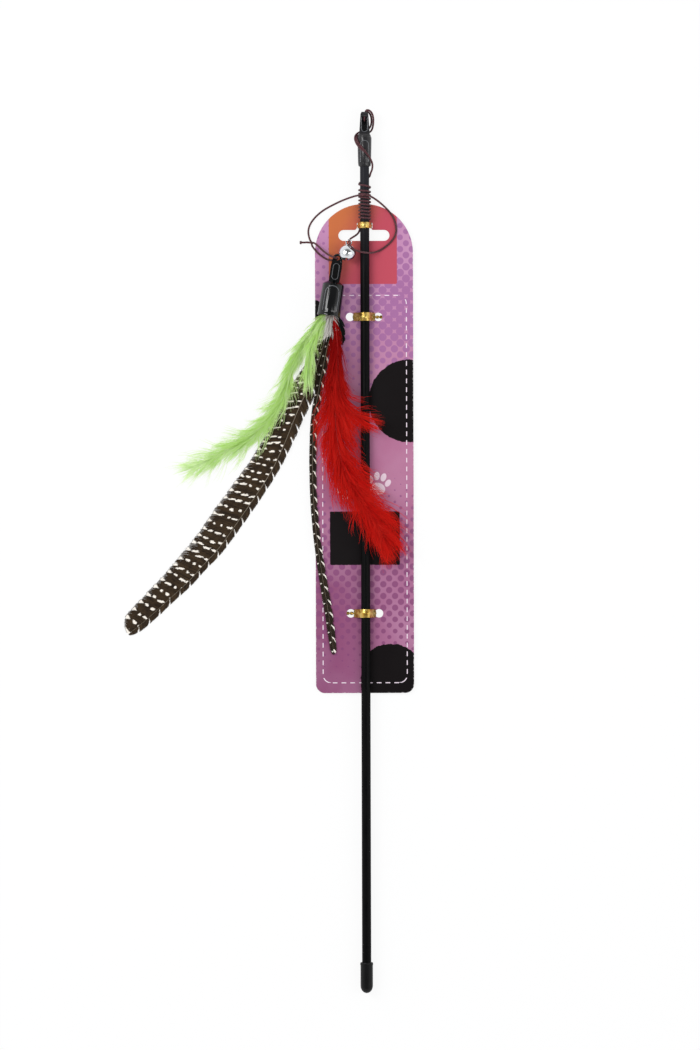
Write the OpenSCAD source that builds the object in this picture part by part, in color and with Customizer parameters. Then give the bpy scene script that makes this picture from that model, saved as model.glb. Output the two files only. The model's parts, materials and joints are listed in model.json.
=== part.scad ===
// Cat teaser wand on its backing card: a hollow rod with an end cap and a tip connector, one thin
// cord with a winding, a loop, knots and a bell, and a feather lure held by a moulded cap.
// Frame: the rod's axis is Y at x = 0, z = 0, the tip is at +Y, the card lies below at -Z,
// and y = 0 is the lower end of the end cap's straight wall.

/* [Rod] */
// outer diameter of the rod
rod_d = 5.6; // [4:0.1:8]
// inner diameter of the rod
rod_bore = 3.9; // [2:0.1:6]
// length of the rod
rod_len = 513.3; // [380:0.1:900]
// where the rod's lower end sits, inside the end cap
rod_low = 1.7; // [1:0.1:5]

/* [End cap] */
// diameter of the end cap's straight wall
cap_d = 7.6; // [6:0.1:12]
// upper end of the end cap
cap_top = 13.7; // [8:0.1:20]
// length of the rounded nose below the wall
nose_len = 4.6; // [2:0.1:8]
// how far the wall runs below y = 0
wall_under = 0.5; // [0:0.1:2]
// how far the top lip stands out
lip_out = 0.15; // [0:0.05:0.5]

/* [Tip connector] */
// how far the sleeve reaches over the rod
sleeve_grip = 13.9; // [8:0.1:25]
// how far the sleeve goes on above the rod's end
sleeve_over = 4.2; // [2:0.1:10]
// diameter of the sleeve
sleeve_d = 8.6; // [7:0.1:12]
// length of the neck and its foot
neck_len = 15.3; // [11:0.1:25]
// width of the neck at its foot
neck_w = 6.5; // [4:0.1:9]
// width of the neck at its top
neck_top_w = 4.8; // [3:0.1:9]
// depth of the neck
neck_depth = 5.6; // [4:0.1:8]
// width of the window in the neck
window_w = 3.4; // [2:0.1:5]

/* [Cord] */
// diameter of the cord
cord_d = 1.0; // [0.6:0.1:2]
// number of turns round the rod, the loose first one among them
winding_turns = 9.75; // [3.75:1:20.75]
// distance from one turn to the next
winding_pitch = 2.07; // [1.5:0.01:5]
// length of the first, looser turn
loose_pitch = 3.6; // [1.5:0.1:8]
// how far under the sleeve the first turn starts
winding_drop = 10.9; // [8:0.1:14]

/* [Backing card] */
// width of the card
card_w = 60.2; // [40:0.1:120]
// length of the card
card_len = 300; // [200:1:450]
// how far the card's upper edge is below the rod's upper end
card_drop = 36.5; // [36:0.1:38]
// thickness of the card
card_t = 0.7; // [0.3:0.1:1.5]
// how far the card's middle is from the rod
card_x = -0.5; // [-5:0.1:5]
// radius of the lower corners
card_corner = 5.5; // [1:0.5:15]
// width of the hang slot
slot_w = 31.3; // [20:0.1:40]
// height of the hang slot
slot_h = 6.7; // [4:0.1:10]
// how far the slot's middle line is below the card's upper edge
slot_drop = 19.3; // [18:0.1:22]
// radius of the round rise of the slot, about its middle
hump_r = 6.2; // [4:0.1:10]
// diameter of the tie holes
hole_d = 5.2; // [3:0.1:8]
// distance between the two holes of a pair
hole_pitch = 17.3; // [10:0.1:30]
// how far the upper pair of holes is below the card's upper edge
upper_holes_drop = 69.3; // [60:0.1:90]
// how far the lower pair of holes is above the card's lower edge
lower_holes_up = 48.9; // [20:0.1:100]

/* [Twist ties] */
// thickness of the foil strip
tie_t = 0.4; // [0.2:0.1:1]
// width of the strip over the rod
tie_w = 5.1; // [3:0.1:8]
// width of the upper tie, which is folded narrower
top_tie_w = 3.6; // [2:0.1:6]
// width of a strip where it passes a hole
tie_neck_w = 3.0; // [2:0.1:5]
// how far the upper tie is above the slot's middle line
top_tie_up = 6; // [5.6:0.1:6.6]
// length of the twisted tail under the card
tail_len = 14; // [6:1:25]

/* [Bell] */
// outer diameter of the bell
bell_d = 10.2; // [6:0.1:20]
// thickness of the bell's sheet
bell_t = 0.5; // [0.3:0.1:1]
// diameter of the pellet
pellet_d = 3; // [2:0.1:5]

/* [Lure] */
// length from the eye to the cap's mouth
lure_len = 36.1; // [20:0.1:60]
// diameter of the cap at its mouth
mouth_d = 14.4; // [8:0.1:25]
// diameter of the cap at its shoulder
shoulder_d = 13.2; // [8:0.1:25]
// how far the shoulder is from the eye
shoulder_at = 16.4; // [8:0.1:30]
// thickness of the eye's tab
tab_t = 2.0; // [1:0.1:4]
// diameter of the eye
eye_d = 2.6; // [1.6:0.1:5]

/* [Feathers] */
// widest left vane of the long feather
long_vane_w = 16.5; // [5:0.5:30]
// widest right vane of the long feather
thin_vane_w = 5; // [2:0.5:10]
// half width of the narrow feather
narrow_half = 1.9; // [1:0.1:6]
// half width of the long lime plume
lime_half = 7.5; // [3:0.5:15]
// half width of the long red plume
red_half = 11; // [3:0.5:20]

/* [Hidden] */
$fn = 72;
hull_fn = 32;
zero = 0.01;
quarter = 90;
half_turn = 180;
full = 360;
rod_r = rod_d / 2;
cap_r = cap_d / 2;
card_gap = 1.2;
card_z = -rod_r - card_gap;
card_under = card_z - card_t;
tail_room = 2.4;
table_z = card_under - tail_room;

// heights along the wand, all counted from the rod's ends
rod_top = rod_low + rod_len;
sleeve_low = rod_top - sleeve_grip;
sleeve_top = rod_top + sleeve_over;
neck_top = sleeve_top + neck_len;
winding_top = sleeve_low - winding_drop;
card_high = rod_top - card_drop;
card_low = card_high - card_len;
slot_y = card_high - slot_drop;
upper_holes_y = card_high - upper_holes_drop;
lower_holes_y = card_low + lower_holes_up;
top_tie_y = slot_y + top_tie_up;
// what lies on the card was laid out with the card's upper edge at this height
laid_high = 478.5;
lift = [0, card_high - laid_high, 0];
function moved(p, v) = [for (q = p) q + v];

// route rounding: each pass cuts every corner at a quarter and three quarters of its sides
cut_share = 0.25;
function blend(a, b, s) = a * (1 - s) + b * s;
function rounded(p, passes) = passes <= 0 ? p : rounded(
    [p[0], for (i = [0:len(p) - 2]) each [blend(p[i], p[i + 1], cut_share),
        blend(p[i + 1], p[i], cut_share)], p[len(p) - 1]], passes - 1);
function unit(v) = v / norm(v);
function tangents(p) = [for (i = [0:len(p) - 1])
    unit(p[min(i + 1, len(p) - 1)] - p[max(i - 1, 0)])];
function flat(v, t) = unit(v - t * (v * t));
function sideways(t, first) = [for (i = 0, v = flat(first, t[0]); i < len(t);
    i = i + 1, v = i < len(t) ? flat(v, t[i]) : v) v];
function skin(rings, n) = [
    [for (k = [0:n - 1]) k],
    for (i = [0:rings - 2], k = [0:n - 1]) each let (a = i * n + k, b = i * n + (k + 1) % n)
        [[a, a + n, b], [b, a + n, b + n]],
    [for (k = [n - 1:-1:0]) (rings - 1) * n + k]];
function path_len(p) = len(p) < 2 ? 0
    : [for (i = 1, s = norm(p[1] - p[0]); i < len(p);
        i = i + 1, s = i < len(p) ? s + norm(p[i] - p[i - 1]) : s) s][len(p) - 2];

// a round cord along the points p
module tube(p, d, n, first) {
    t = tangents(p);
    u = sideways(t, first);
    polyhedron(points = [for (i = [0:len(p) - 1], k = [0:n - 1]) let (a = full * k / n)
        p[i] + d / 2 * (u[i] * cos(a) + cross(t[i], u[i]) * sin(a))],
        faces = skin(len(p), n), convexity = 6);
}

// a value read from a list of shares, at the share s of its length
function along(list, s) = let (x = s * (len(list) - 1), i = min(floor(x), len(list) - 2))
    blend(list[i], list[i + 1], x - i);

// a feather along p: left and right half widths and the thickness come from lists of shares
module blade(p, left, left_shares, right, right_shares, thick, section, lobe_share, lobe_gap) {
    t = tangents(p);
    last = len(p) - 1;
    n = len(section);
    polyhedron(points = [for (i = [0:last]) let (
            s = i / last,
            side = unit(cross(t[i], [0, 0, 1])),
            up = cross(side, t[i]),
            dent = 1 - lobe_share * (i % lobe_gap == 0 ? 1 : 0),
            wl = left * along(left_shares, s) * dent,
            wr = right * along(right_shares, s) * dent,
            th = min(thick, wl + wr))
        each [for (q = section) p[i]
            + side * (q[0] < 0 ? q[0] * wr : q[0] * wl) + up * (q[1] * th / 2)]],
        faces = skin(len(p), n), convexity = 8);
}

module along_y(y) {
    translate([0, y, 0]) rotate([-quarter, 0, 0]) children();
}

// a slab along Y whose half width follows the pairs of height and half width
module taper(steps, depth) {
    linear_extrude(depth, center = true) polygon(concat([for (q = steps) [q[1], q[0]]],
        [for (i = [len(steps) - 1:-1:0]) [-steps[i][1], steps[i][0]]]));
}

// rod, end cap and tip connector

module rod() {
    color("#15161a") along_y(rod_low) difference() {
        cylinder(r = rod_r, h = rod_top - rod_low);
        translate([0, 0, -zero]) cylinder(d = rod_bore, h = rod_top - rod_low + 2 * zero);
    }
}

nose_steps = 10;
lip_len = 1.8;
lip_edge = 0.5;
module end_cap() {
    nose = [for (i = [0:nose_steps]) let (a = quarter * i / nose_steps)
        [cap_r * sin(a), -wall_under - nose_len * cos(a)]];
    wall = [[cap_r, cap_top - lip_len], [cap_r + lip_out, cap_top - lip_len + lip_edge],
        [cap_r + lip_out, cap_top - lip_edge], [cap_r, cap_top],
        [rod_r, cap_top], [rod_r, rod_low], [0, rod_low]];
    color("#111214") along_y(0) rotate_extrude() polygon(concat(nose, wall));
}

sleeve_r = sleeve_d / 2;
sleeve_slim = 0.3;
sleeve_round = 2.2;
sleeve_floor = rod_top;
shoulder_len = 1.8;
cavity_up = 3.3;
cavity_low = sleeve_top + cavity_up;
cavity_half = 2.1;
window_up = 2.8;
window_low = sleeve_top + window_up;
window_under = 3;
window_high = neck_top - window_under;
bar_under = 4;
bar_y = neck_top - bar_under;
bar_d = 1.6;
arch_w = 5;
arch_inset = 2.4;
arch_low = sleeve_low + arch_inset;
arch_high = sleeve_top - arch_inset;
arch_out = 0.25;
crown_cut = 1.3;
module tip_connector() {
    sleeve = [[rod_r, sleeve_low], [sleeve_r - sleeve_slim - sleeve_round / 3, sleeve_low],
        [sleeve_r - sleeve_slim - sleeve_round / 9, sleeve_low + sleeve_round / 5],
        [sleeve_r - sleeve_slim, sleeve_low + sleeve_round], [sleeve_r, sleeve_top - sleeve_round],
        [sleeve_r, sleeve_top - sleeve_slim], [sleeve_r - sleeve_slim, sleeve_top],
        [0, sleeve_top], [0, sleeve_floor], [rod_r, sleeve_floor]];
    color("#18191c") difference() {
        union() {
            along_y(0) rotate_extrude() polygon(sleeve);
            // the neck, narrower towards its top
            intersection() {
                along_y(sleeve_top - zero)
                    cylinder(r = sleeve_r - sleeve_slim, h = neck_top - sleeve_top);
                taper([[sleeve_top - shoulder_len, sleeve_r], [sleeve_top, sleeve_r],
                    [sleeve_top + shoulder_len, neck_w / 2], [neck_top - crown_cut, neck_top_w / 2],
                    [neck_top, neck_top_w / 2 - crown_cut / 2]], sleeve_d);
                rotate([0, quarter, 0]) taper([[sleeve_top - shoulder_len, sleeve_r], [sleeve_top, sleeve_r],
                    [sleeve_top + shoulder_len, neck_depth / 2], [neck_top - crown_cut, neck_depth / 2],
                    [neck_top, neck_depth / 2 - crown_cut / 2]], sleeve_d);
            }
            // raised arch panel on the sleeve's front
            intersection() {
                along_y(arch_low) cylinder(r = sleeve_r + arch_out, h = arch_high - arch_low);
                union() {
                    translate([-arch_w / 2, arch_low, 0])
                        cube([arch_w, arch_high - arch_low - arch_w / 2, sleeve_d]);
                    translate([0, arch_high - arch_w / 2, 0]) cylinder(d = arch_w, h = sleeve_d);
                }
            }
        }
        along_y(sleeve_low - zero) cylinder(r = rod_r, h = sleeve_floor - sleeve_low + zero);
        // hollow neck, open at the top
        difference() {
            translate([-window_w / 2, cavity_low, -cavity_half])
                cube([window_w, neck_top, 2 * cavity_half]);
            translate([-window_w, bar_y, 0]) rotate([0, quarter, 0]) cylinder(d = bar_d, h = 2 * window_w);
        }
        // window in the neck's front
        translate([-window_w / 2, window_low + window_w / 2, 0])
            cube([window_w, window_high - window_low - window_w / 2, neck_depth]);
        translate([0, window_low + window_w / 2, 0]) cylinder(d = window_w, h = neck_depth);
    }
}

// cord

lay_gap = 0.1;
wind_r = rod_r + lay_gap + cord_d / 2;
steep_pitch = 11.6;
lead_turn = 0.5;
wind_rings = 24;
wind_sides = 6;
free_sides = 8;
function wind_y(s) = s < 0 ? winding_top - steep_pitch * s
    : s < 1 ? winding_top - loose_pitch * s
    : winding_top - loose_pitch - winding_pitch * (s - 1);
function wind_point(s) = [-wind_r * cos(full * s), wind_y(s), wind_r * sin(full * s)];
wind_path = [for (i = [0:round((winding_turns + lead_turn) * wind_rings)])
    wind_point(i / wind_rings - lead_turn)];
wind_low = wind_y(winding_turns);

// both strands leave the neck's open top, go down its right side and round behind it
bight_gap = 0.05;
bight_y = bar_y - bar_d / 2 - bight_gap - cord_d / 2;
// each strand's points are set out from the bar, the neck's top, the sleeve's top and its lower end
lead_bar = [[0, 0, 0], [0, 0, 0.75], [0, 0.65, 1.3], [0.1, 2.35, 1.35]];
lead_crown = [[0.4, -0.5, 1.2], [1.2, 1.2, 0.9], [3, 1.1, 0.4], [4.8, -0.7, 0.1], [5.6, -4.1, -0.2]];
lead_foot = [[5.4, 7.4, -0.8], [4.6, 4.4, -1.9], [2.9, 2.9, -3.5], [0, 2.4, -3.8], [-3.2, 1.8, -3.6],
    [-4.6, 0.6, -1.6], [-4.8, -1, 0.4], [-4.4, -2.6, 2.3]];
lead_cross = [[-3, 12.9, 4.1], [-0.8, 10.3, 5.6], [1.6, 7.3, 5.5], [3.6, 4.5, 4], [4.7, 2.1, 2.5],
    [4.9, 0.1, 1.2], [4.6, -2.1, 0.6], [3.8, -3.7, 0.5]];
lead_route = concat(moved(lead_bar, [0, bight_y, 0]), moved(lead_crown, [0, neck_top, 0]),
    moved(lead_foot, [0, sleeve_top, 0]), moved(lead_cross, [0, sleeve_low, 0]),
    [[wind_r, wind_y(-lead_turn), 0]]);
hitch_bar = [[0, 0, 0], [0, 0, -0.75], [0, 0.65, -1.3], [0, 2.35, -1.35]];
hitch_crown = [[0.2, -0.9, -1.1], [0.9, 0.4, -1], [2.4, 0.2, -1], [3.8, -1.5, -1.2], [4.4, -4.5, -1.5]];
hitch_foot = [[4.2, 7.8, -2.4], [3, 5.4, -3.5], [0.4, 4.2, -4.1], [-2.8, 3.5, -3.8],
    [-4.9, 2.1, -2.5], [-5.9, 0.2, -0.4], [-5.8, -2, 1.4]];
hitch_cross = [[-4.9, 13.8, 3.1], [-3.3, 11.5, 4.7], [-1.7, 10, 5.7]];
hitch_route = concat(moved(hitch_bar, [0, bight_y, 0]), moved(hitch_crown, [0, neck_top, 0]),
    moved(hitch_foot, [0, sleeve_top, 0]), moved(hitch_cross, [0, sleeve_low, 0]));
// the loop leaves the winding behind the rod, rises through the bell's ring, crosses the rod's front,
// lies on the card, crosses over the winding and comes down to the table on the left
on_card = card_z + lay_gap + cord_d / 2;
on_table = table_z + lay_gap + cord_d / 2;
loop_laid = [[-2.6, 467.2, -3.3],
    [-2.9, 465, -3.3], [-3, 462.8, -3.2], [-3.8, 460.6, -2.8], [-5.6, 458.9, -1.2],
    [-7.6, 457.6, 1.4], [-9, 456.5, 4.2], [-9.7, 455.2, 6.5], [-9.8, 454.2, 8.2],
    [-9.2, 452.8, 9.8], [-8, 451, 10.2], [-6.2, 449.6, 9.2], [-3.6, 448.7, 7.2],
    [-1.4, 448.3, 5.4], [0.8, 448.1, 4.1], [3, 448, 2.5], [5.4, 448.4, -0.4], [8, 449.3, -2.6],
    [10.8, 450.7, on_card], [13.6, 452.8, on_card], [16.2, 455.2, on_card],
    [18.3, 458, on_card], [19.4, 461.4, on_card], [19.2, 465, on_card], [18.1, 469, on_card],
    [16, 472.8, on_card], [13, 476, -3.1], [9.6, 479, -2], [6.4, 481.2, 0.9],
    [3.8, 482.6, 3.4], [1.8, 483.3, 4.7], [-1.2, 483.4, 4.9], [-4.2, 483.3, 3],
    [-7.4, 482.7, -0.8], [-10.8, 481.8, -4.2], [-14.4, 480.5, -6], [-18, 478.8, on_table],
    [-22, 476.8, on_table], [-26, 474.4, on_table], [-29.8, 471.2, on_table],
    [-32.6, 467.8, on_table], [-34.2, 464.6, on_table], [-34.7, 461.6, on_table],
    [-34.3, 458.8, on_table], [-33.5, 456.5, -6.1]];
loop_route = concat([[0, wind_low, -wind_r], [-1.4, wind_low, -wind_r]], moved(loop_laid, lift));
eye_knot_at = [-32.6, 454.9, -5.8] + lift;
// the eye's loop rises from the knot over the card's edge, passes down through the eye and comes back
eye_laid = [[-31.6, 454.9, -5.3], [-30.4, 454.3, -2.9], [-28, 452, -0.9], [-25, 448.9, 1.5],
    [-22.2, 446.9, 3.5], [-19.6, 445.6, 4.4], [-17.6, 444.9, 4.1], [-16.7, 444.8, 2.7],
    [-16.7, 444.8, 1.6], [-17, 444.6, 0.4], [-18.3, 444.2, -0.8], [-21, 443.9, -1.3],
    [-23.6, 444.6, -1.7], [-26.2, 446.2, -2.2], [-28.8, 448.4, -2.8], [-31, 450.9, -3.2],
    [-32.4, 453.2, -5.4]];
eye_route = moved(eye_laid, lift);
tail_laid = [[-33.8, 455, -6.1], [-35.4, 455.2, on_table], [-37, 455.1, on_table],
    [-38.8, 455.1, on_table]];
tail_route = moved(tail_laid, lift);
tail_knot_at = [-39.3, 455.1, -5.8] + lift;

cord_colour = "#3a1a20";
module cord_lead() {
    color(cord_colour) tube(rounded(lead_route, 1), cord_d, free_sides, [1, 0, 0]);
}
module cord_hitch() {
    color(cord_colour) tube(rounded(hitch_route, 1), cord_d, free_sides, [1, 0, 0]);
}
module cord_winding() {
    color(cord_colour) tube(wind_path, cord_d, wind_sides, [1, 0, 0]);
}
loop_path = rounded(loop_route, 1);
module cord_loop() {
    color(cord_colour) tube(loop_path, cord_d, free_sides, [0, 0, 1]);
}
module cord_eye() {
    color(cord_colour) tube(rounded(eye_route, 1), cord_d, free_sides, [0, 0, 1]);
}
module cord_tail() {
    color(cord_colour) tube(rounded(tail_route, 1), cord_d, free_sides, [0, 0, 1]);
}

// a knot: two crossed rings of cord round a strand that runs along the given turn
knot_lean = 24;
knot_ring_r = 0.88;
knot_cord_d = 0.76;
knot_out = knot_ring_r * cos(knot_lean) + knot_cord_d / 2;
tip_knot_up = 9.2;
tip_knot_turn = -52;
eye_knot_turn = 30;
tip_knot_at = [0, sleeve_low + tip_knot_up, sleeve_r + arch_out + knot_out + lay_gap / 2];
module knot(at, turn) {
    color(cord_colour) translate(at) rotate(turn) for (side = [-1, 1])
        rotate([0, side * knot_lean, 0]) rotate_extrude($fn = hull_fn)
            translate([knot_ring_r, 0]) circle(d = knot_cord_d, $fn = hull_fn / 2);
}
module tip_knot() {
    knot(tip_knot_at, [0, quarter, tip_knot_turn]);
}
module eye_knot() {
    knot(eye_knot_at, [0, quarter, eye_knot_turn]);
}
module tail_knot() {
    knot(tail_knot_at, [0, quarter, 0]);
}

// backing card and ties

top_leg = 4.0;
slit_w = 1.05;
wire_room = 0.22;
slit_x = top_leg + wire_room;
slit_half = 1.2;
arch_r = card_w / 2;
module card_outline() {
    straight = card_high - arch_r - card_low;
    difference() {
        union() {
            translate([card_x, card_high - arch_r]) circle(r = arch_r, $fn = 144);
            translate([card_x - arch_r, card_low + card_corner]) square([card_w, straight - card_corner]);
            translate([card_x - arch_r + card_corner, card_low])
                square([card_w - 2 * card_corner, card_corner + zero]);
            for (side = [-1, 1]) translate([card_x + side * (arch_r - card_corner), card_low + card_corner])
                circle(r = card_corner);
        }
        // hang slot with a round rise for a single hook
        translate([card_x - slot_w / 2 + slot_h / 2, slot_y - slot_h / 2])
            square([slot_w - slot_h, slot_h]);
        for (side = [-1, 1]) translate([card_x + side * (slot_w - slot_h) / 2, slot_y]) circle(d = slot_h);
        intersection() {
            translate([card_x, slot_y]) circle(r = hump_r);
            translate([card_x - hump_r, slot_y]) square([hump_r * 2, hump_r]);
        }
        // two slits for the upper tie
        for (side = [-1, 1]) {
            translate([side * slit_x - slit_w / 2, top_tie_y - slit_half]) square([slit_w, slit_half * 2]);
            for (end = [-1, 1]) translate([side * slit_x, top_tie_y + end * slit_half]) circle(d = slit_w);
        }
        for (y = [upper_holes_y, lower_holes_y], side = [-1, 1])
            translate([card_x + side * hole_pitch / 2, y]) circle(d = hole_d);
    }
}
module backing_card() {
    color("#bd72b4") translate([0, 0, card_under]) linear_extrude(card_t) card_outline();
}

tie_gap = 0.05;
tie_inner = rod_r + tie_gap;
tie_arc_steps = 14;
strip_low = card_under - lay_gap - tie_t;
hole_inset = 1.75;
ridge_w = 0.8;
ridge_out = 0.22;
tail_w = 1.9;
tail_t = 0.8;
tail_turns = 3;
tail_slices = 30;
function tangent_angle(p, r, side) = atan2(p[1], p[0]) - side * acos(r / norm(p));
// closed outline of a tie seen along the rod, grown by off
function tie_outline(left, right, off) = let (
        a = [left - off, card_z], b = [right + off, card_z], r = tie_inner + off,
        from = tangent_angle(a, r, 1) + full, to = tangent_angle(b, r, -1))
    concat([[left - off, strip_low + tie_t - off], a],
        [for (i = [0:tie_arc_steps]) let (g = from + (to - from) * i / tie_arc_steps)
            [r * cos(g), r * sin(g)]],
        [b, [right + off, strip_low + tie_t - off]]);
module tie_ring(left, right, inner, outer) {
    difference() {
        polygon(tie_outline(left, right, outer));
        polygon(tie_outline(left, right, inner));
    }
}
module tie(y, left, right, w, tail_side) {
    color("#c9a24a") translate([0, y, 0]) {
        rotate([quarter, 0, 0]) {
            // the strip over the rod, narrowed where it passes the holes
            linear_extrude(w, center = true) intersection() {
                tie_ring(left, right, 0, tie_t);
                translate([-card_w / 2, card_z + tie_t]) square([card_w, rod_d * 2]);
            }
            linear_extrude(min(w, tie_neck_w), center = true) tie_ring(left, right, 0, tie_t);
            // the wire in the strip shows as a ridge
            linear_extrude(ridge_w, center = true) tie_ring(left, right, tie_t / 2, tie_t + ridge_out);
        }
        // the two ends, twisted together and folded flat under the card
        translate([(left + right) / 2, 0, table_z + tail_w / 2 + tie_gap]) rotate([0, tail_side * quarter, 0])
            linear_extrude(tail_len, twist = full * tail_turns, slices = tail_slices, $fn = 4)
                square([tail_w, tail_t], center = true);
        translate([(left + right) / 2, 0, (table_z + strip_low) / 2])
            cube([tail_w, tail_w, strip_low - table_z - 2 * tie_gap], center = true);
    }
}
leg_half = hole_pitch / 2 - hole_inset;
module twist_tie_top() {
    tie(top_tie_y, -top_leg, top_leg, top_tie_w, -1);
}
module twist_tie_middle() {
    tie(upper_holes_y, card_x - leg_half + tie_t, card_x + leg_half - tie_t, tie_w, 1);
}
module twist_tie_bottom() {
    tie(lower_holes_y, card_x - leg_half + tie_t, card_x + leg_half - tie_t, tie_w, -1);
}

// bell

bell_at = [-10.7, 448.1, 5.8] + lift;
bell_turn = [15, 0, -8.2];
bell_r = bell_d / 2;
seam_out = 0.25;
seam_half = 0.3;
ring_r = 1.55;
ring_d = 0.9;
ring_at = 6.5;
bell_slot_w = 0.9;
bell_hole_d = 2.2;
hole_lat = 50;
module bell_frame() {
    translate(bell_at) rotate([0, 0, bell_turn[2]]) rotate([bell_turn[0], 0, 0]) rotate([-quarter, 0, 0])
        children();
}
module half_shell(side) {
    difference() {
        union() {
            sphere(r = bell_r);
            cylinder(r = bell_r + seam_out, h = seam_half * 2, center = true);
        }
        sphere(r = bell_r - bell_t);
        translate([-bell_d, -bell_d, side > 0 ? -2 * bell_d : 0]) cube(2 * bell_d);
    }
}
module bell_upper_shell() {
    color("#cfd3d8") bell_frame() half_shell(1);
}
module bell_lower_shell() {
    color("#cfd3d8") bell_frame() difference() {
        half_shell(-1);
        // crossed slots that end in round holes
        for (a = [0, quarter]) rotate([0, 0, a]) {
            intersection() {
                translate([-bell_r, -bell_slot_w / 2, -bell_d]) cube([bell_d, bell_slot_w, bell_d]);
                rotate([half_turn, 0, 0])
                    cylinder(r1 = 0, r2 = bell_d * sin(hole_lat), h = bell_d * cos(hole_lat));
            }
            for (lean = [-hole_lat, hole_lat]) rotate([0, half_turn + lean, 0])
                cylinder(d = bell_hole_d, h = bell_d);
        }
    }
}
module bell_loop() {
    color("#cfd3d8") bell_frame() difference() {
        translate([0, 0, ring_at]) rotate([quarter, 0, 0]) rotate_extrude()
            translate([ring_r, 0]) circle(d = ring_d, $fn = hull_fn);
        sphere(r = bell_r);
    }
}
module bell_pellet() {
    color("#9a9ea4") translate(bell_at) translate([0, 0, -bell_r + bell_t + pellet_d / 2 + lay_gap])
        sphere(d = pellet_d);
}

// lure cap

eye_at = [-16.6, 444.8, 1.7] + lift;
lure_turn = -9;
lure_tilt = -4;
tab_r = 2.9;
tab_edge = 0.5;
cap_bore_r = 6.3;
floor_in = 5.6;
cap_floor = shoulder_at + floor_in;
foot_len = 2.8;
foot_from = shoulder_at - foot_len;
throat_w = 6.6;
throat_h = 5;
waist_w = 6.9;
waist_h = 3.6;
waist_from = 5;
slot_from = 3.4;
slot_end = 3;
slot_to = shoulder_at - slot_end;
panel_w = 8.6;
panel_in = 1.4;
panel_from = shoulder_at + panel_in;
panel_end = 2.6;
panel_to = lure_len - panel_end;
panel_out = 0.35;
lip_h = 1.1;
plug_in = 4.2;
plug_from = cap_floor;
plug_to = lure_len - plug_in;
module lure_frame() {
    translate(eye_at) rotate([0, 0, lure_turn]) rotate([lure_tilt, 0, 0]) children();
}
// a cone along the lure's axis, from one distance from the eye to another
module barrel(from, to, r1, r2) {
    translate([0, -from, 0]) rotate([quarter, 0, 0]) cylinder(r1 = r1, r2 = r2, h = to - from);
}
module lure_cap() {
    mouth_r = mouth_d / 2;
    color("#101113") lure_frame() difference() {
        union() {
            // the round tab with the eye
            rotate_extrude() polygon([[0, -tab_t / 2], [tab_r - tab_edge, -tab_t / 2],
                [tab_r, -tab_t / 2 + tab_edge], [tab_r, tab_t / 2 - tab_edge],
                [tab_r - tab_edge, tab_t / 2], [0, tab_t / 2]]);
            // the neck and the shoulder
            intersection() {
                taper([[0, tab_r], [-waist_from, waist_w / 2], [-foot_from, throat_w / 2],
                    [-shoulder_at, throat_w / 2]], mouth_d);
                rotate([0, quarter, 0]) taper([[0, tab_t / 2], [-waist_from, waist_h / 2],
                    [-foot_from, throat_h / 2], [-shoulder_at, throat_h / 2]], mouth_d);
            }
            barrel(foot_from, shoulder_at, throat_h / 2, shoulder_d / 2);
            barrel(shoulder_at, lure_len - lip_h, shoulder_d / 2, mouth_r - panel_out / 2);
            barrel(lure_len - lip_h, lure_len, mouth_r, mouth_r);
            // raised arch panel on the front
            intersection() {
                barrel(panel_from, panel_to, shoulder_d / 2 + panel_out, mouth_r + panel_out / 2);
                union() {
                    translate([-panel_w / 2, -panel_to, 0])
                        cube([panel_w, panel_to - panel_from - panel_w / 2, mouth_d]);
                    translate([0, -panel_from - panel_w / 2, 0]) cylinder(d = panel_w, h = mouth_d);
                }
            }
        }
        // eye
        translate([0, 0, -mouth_d]) cylinder(d = eye_d, h = 2 * mouth_d);
        // socket for the quills
        barrel(cap_floor, lure_len + lip_h, cap_bore_r, cap_bore_r);
        // window in the neck's front
        translate([-window_w / 2, -slot_to + window_w / 2, 0])
            cube([window_w, slot_to - slot_from - window_w, mouth_d]);
        for (y = [-slot_from - window_w / 2, -slot_to + window_w / 2])
            translate([0, y, 0]) cylinder(d = window_w, h = mouth_d);
    }
}
module glue_plug() {
    color("#c8b98a") lure_frame() barrel(plug_from, plug_to, cap_bore_r, cap_bore_r);
}

// feathers and plumes, laid out with the cap's mouth this far from the eye
laid_lure_len = 36.1;
hang = lift + (lure_len - laid_lure_len) * [sin(lure_turn), -cos(lure_turn), 0];

vane_section = [[-1, 0], [-0.55, 0.6], [-0.08, 0.7], [0, 1.6], [0.15, 0.7], [0.6, 0.6],
    [1, 0], [0.6, -0.6], [0.1, -0.8], [-0.55, -0.6]];
slim_section = [[-1, 0], [-0.5, 0.6], [0, 1.2], [0.5, 0.6], [1, 0], [0.5, -0.7], [-0.5, -0.7]];
plume_section = [for (a = [half_turn:-30:-150]) [cos(a), sin(a)]];
vane_thick = 0.8;
vane_dent = 0.12;
vane_dent_gap = 3;
plume_dent = 0.08;
plume_dent_gap = 4;
plume_thick = 3.2;
slim_thick = 2.0;
guinea_route = [[-21.4, 412.6, -0.6], [-21.6, 406, -1], [-23.4, 399, -1.6], [-26.4, 388.6, -2.5],
    [-29.6, 378, -3], [-34.4, 367, -3], [-39, 357, -3.3], [-43.8, 346, -4.1],
    [-49.8, 330.6, -5.4], [-58.8, 312, -6.2], [-74, 290, -6.4], [-90, 267, -6.4],
    [-99.4, 257.6, -6.4], [-109, 246.6, -6.4], [-120, 237, -6.4], [-132, 226, -6.4],
    [-141, 218.6, -6.4], [-146, 214.8, -6.4]];
guinea_left_share = [0.05, 0.055, 0.11, 0.24, 0.35, 0.45, 0.58, 0.72, 0.86, 0.95, 0.99, 1, 0.97,
    0.94, 0.9, 0.84, 0.7, 0.36];
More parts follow.
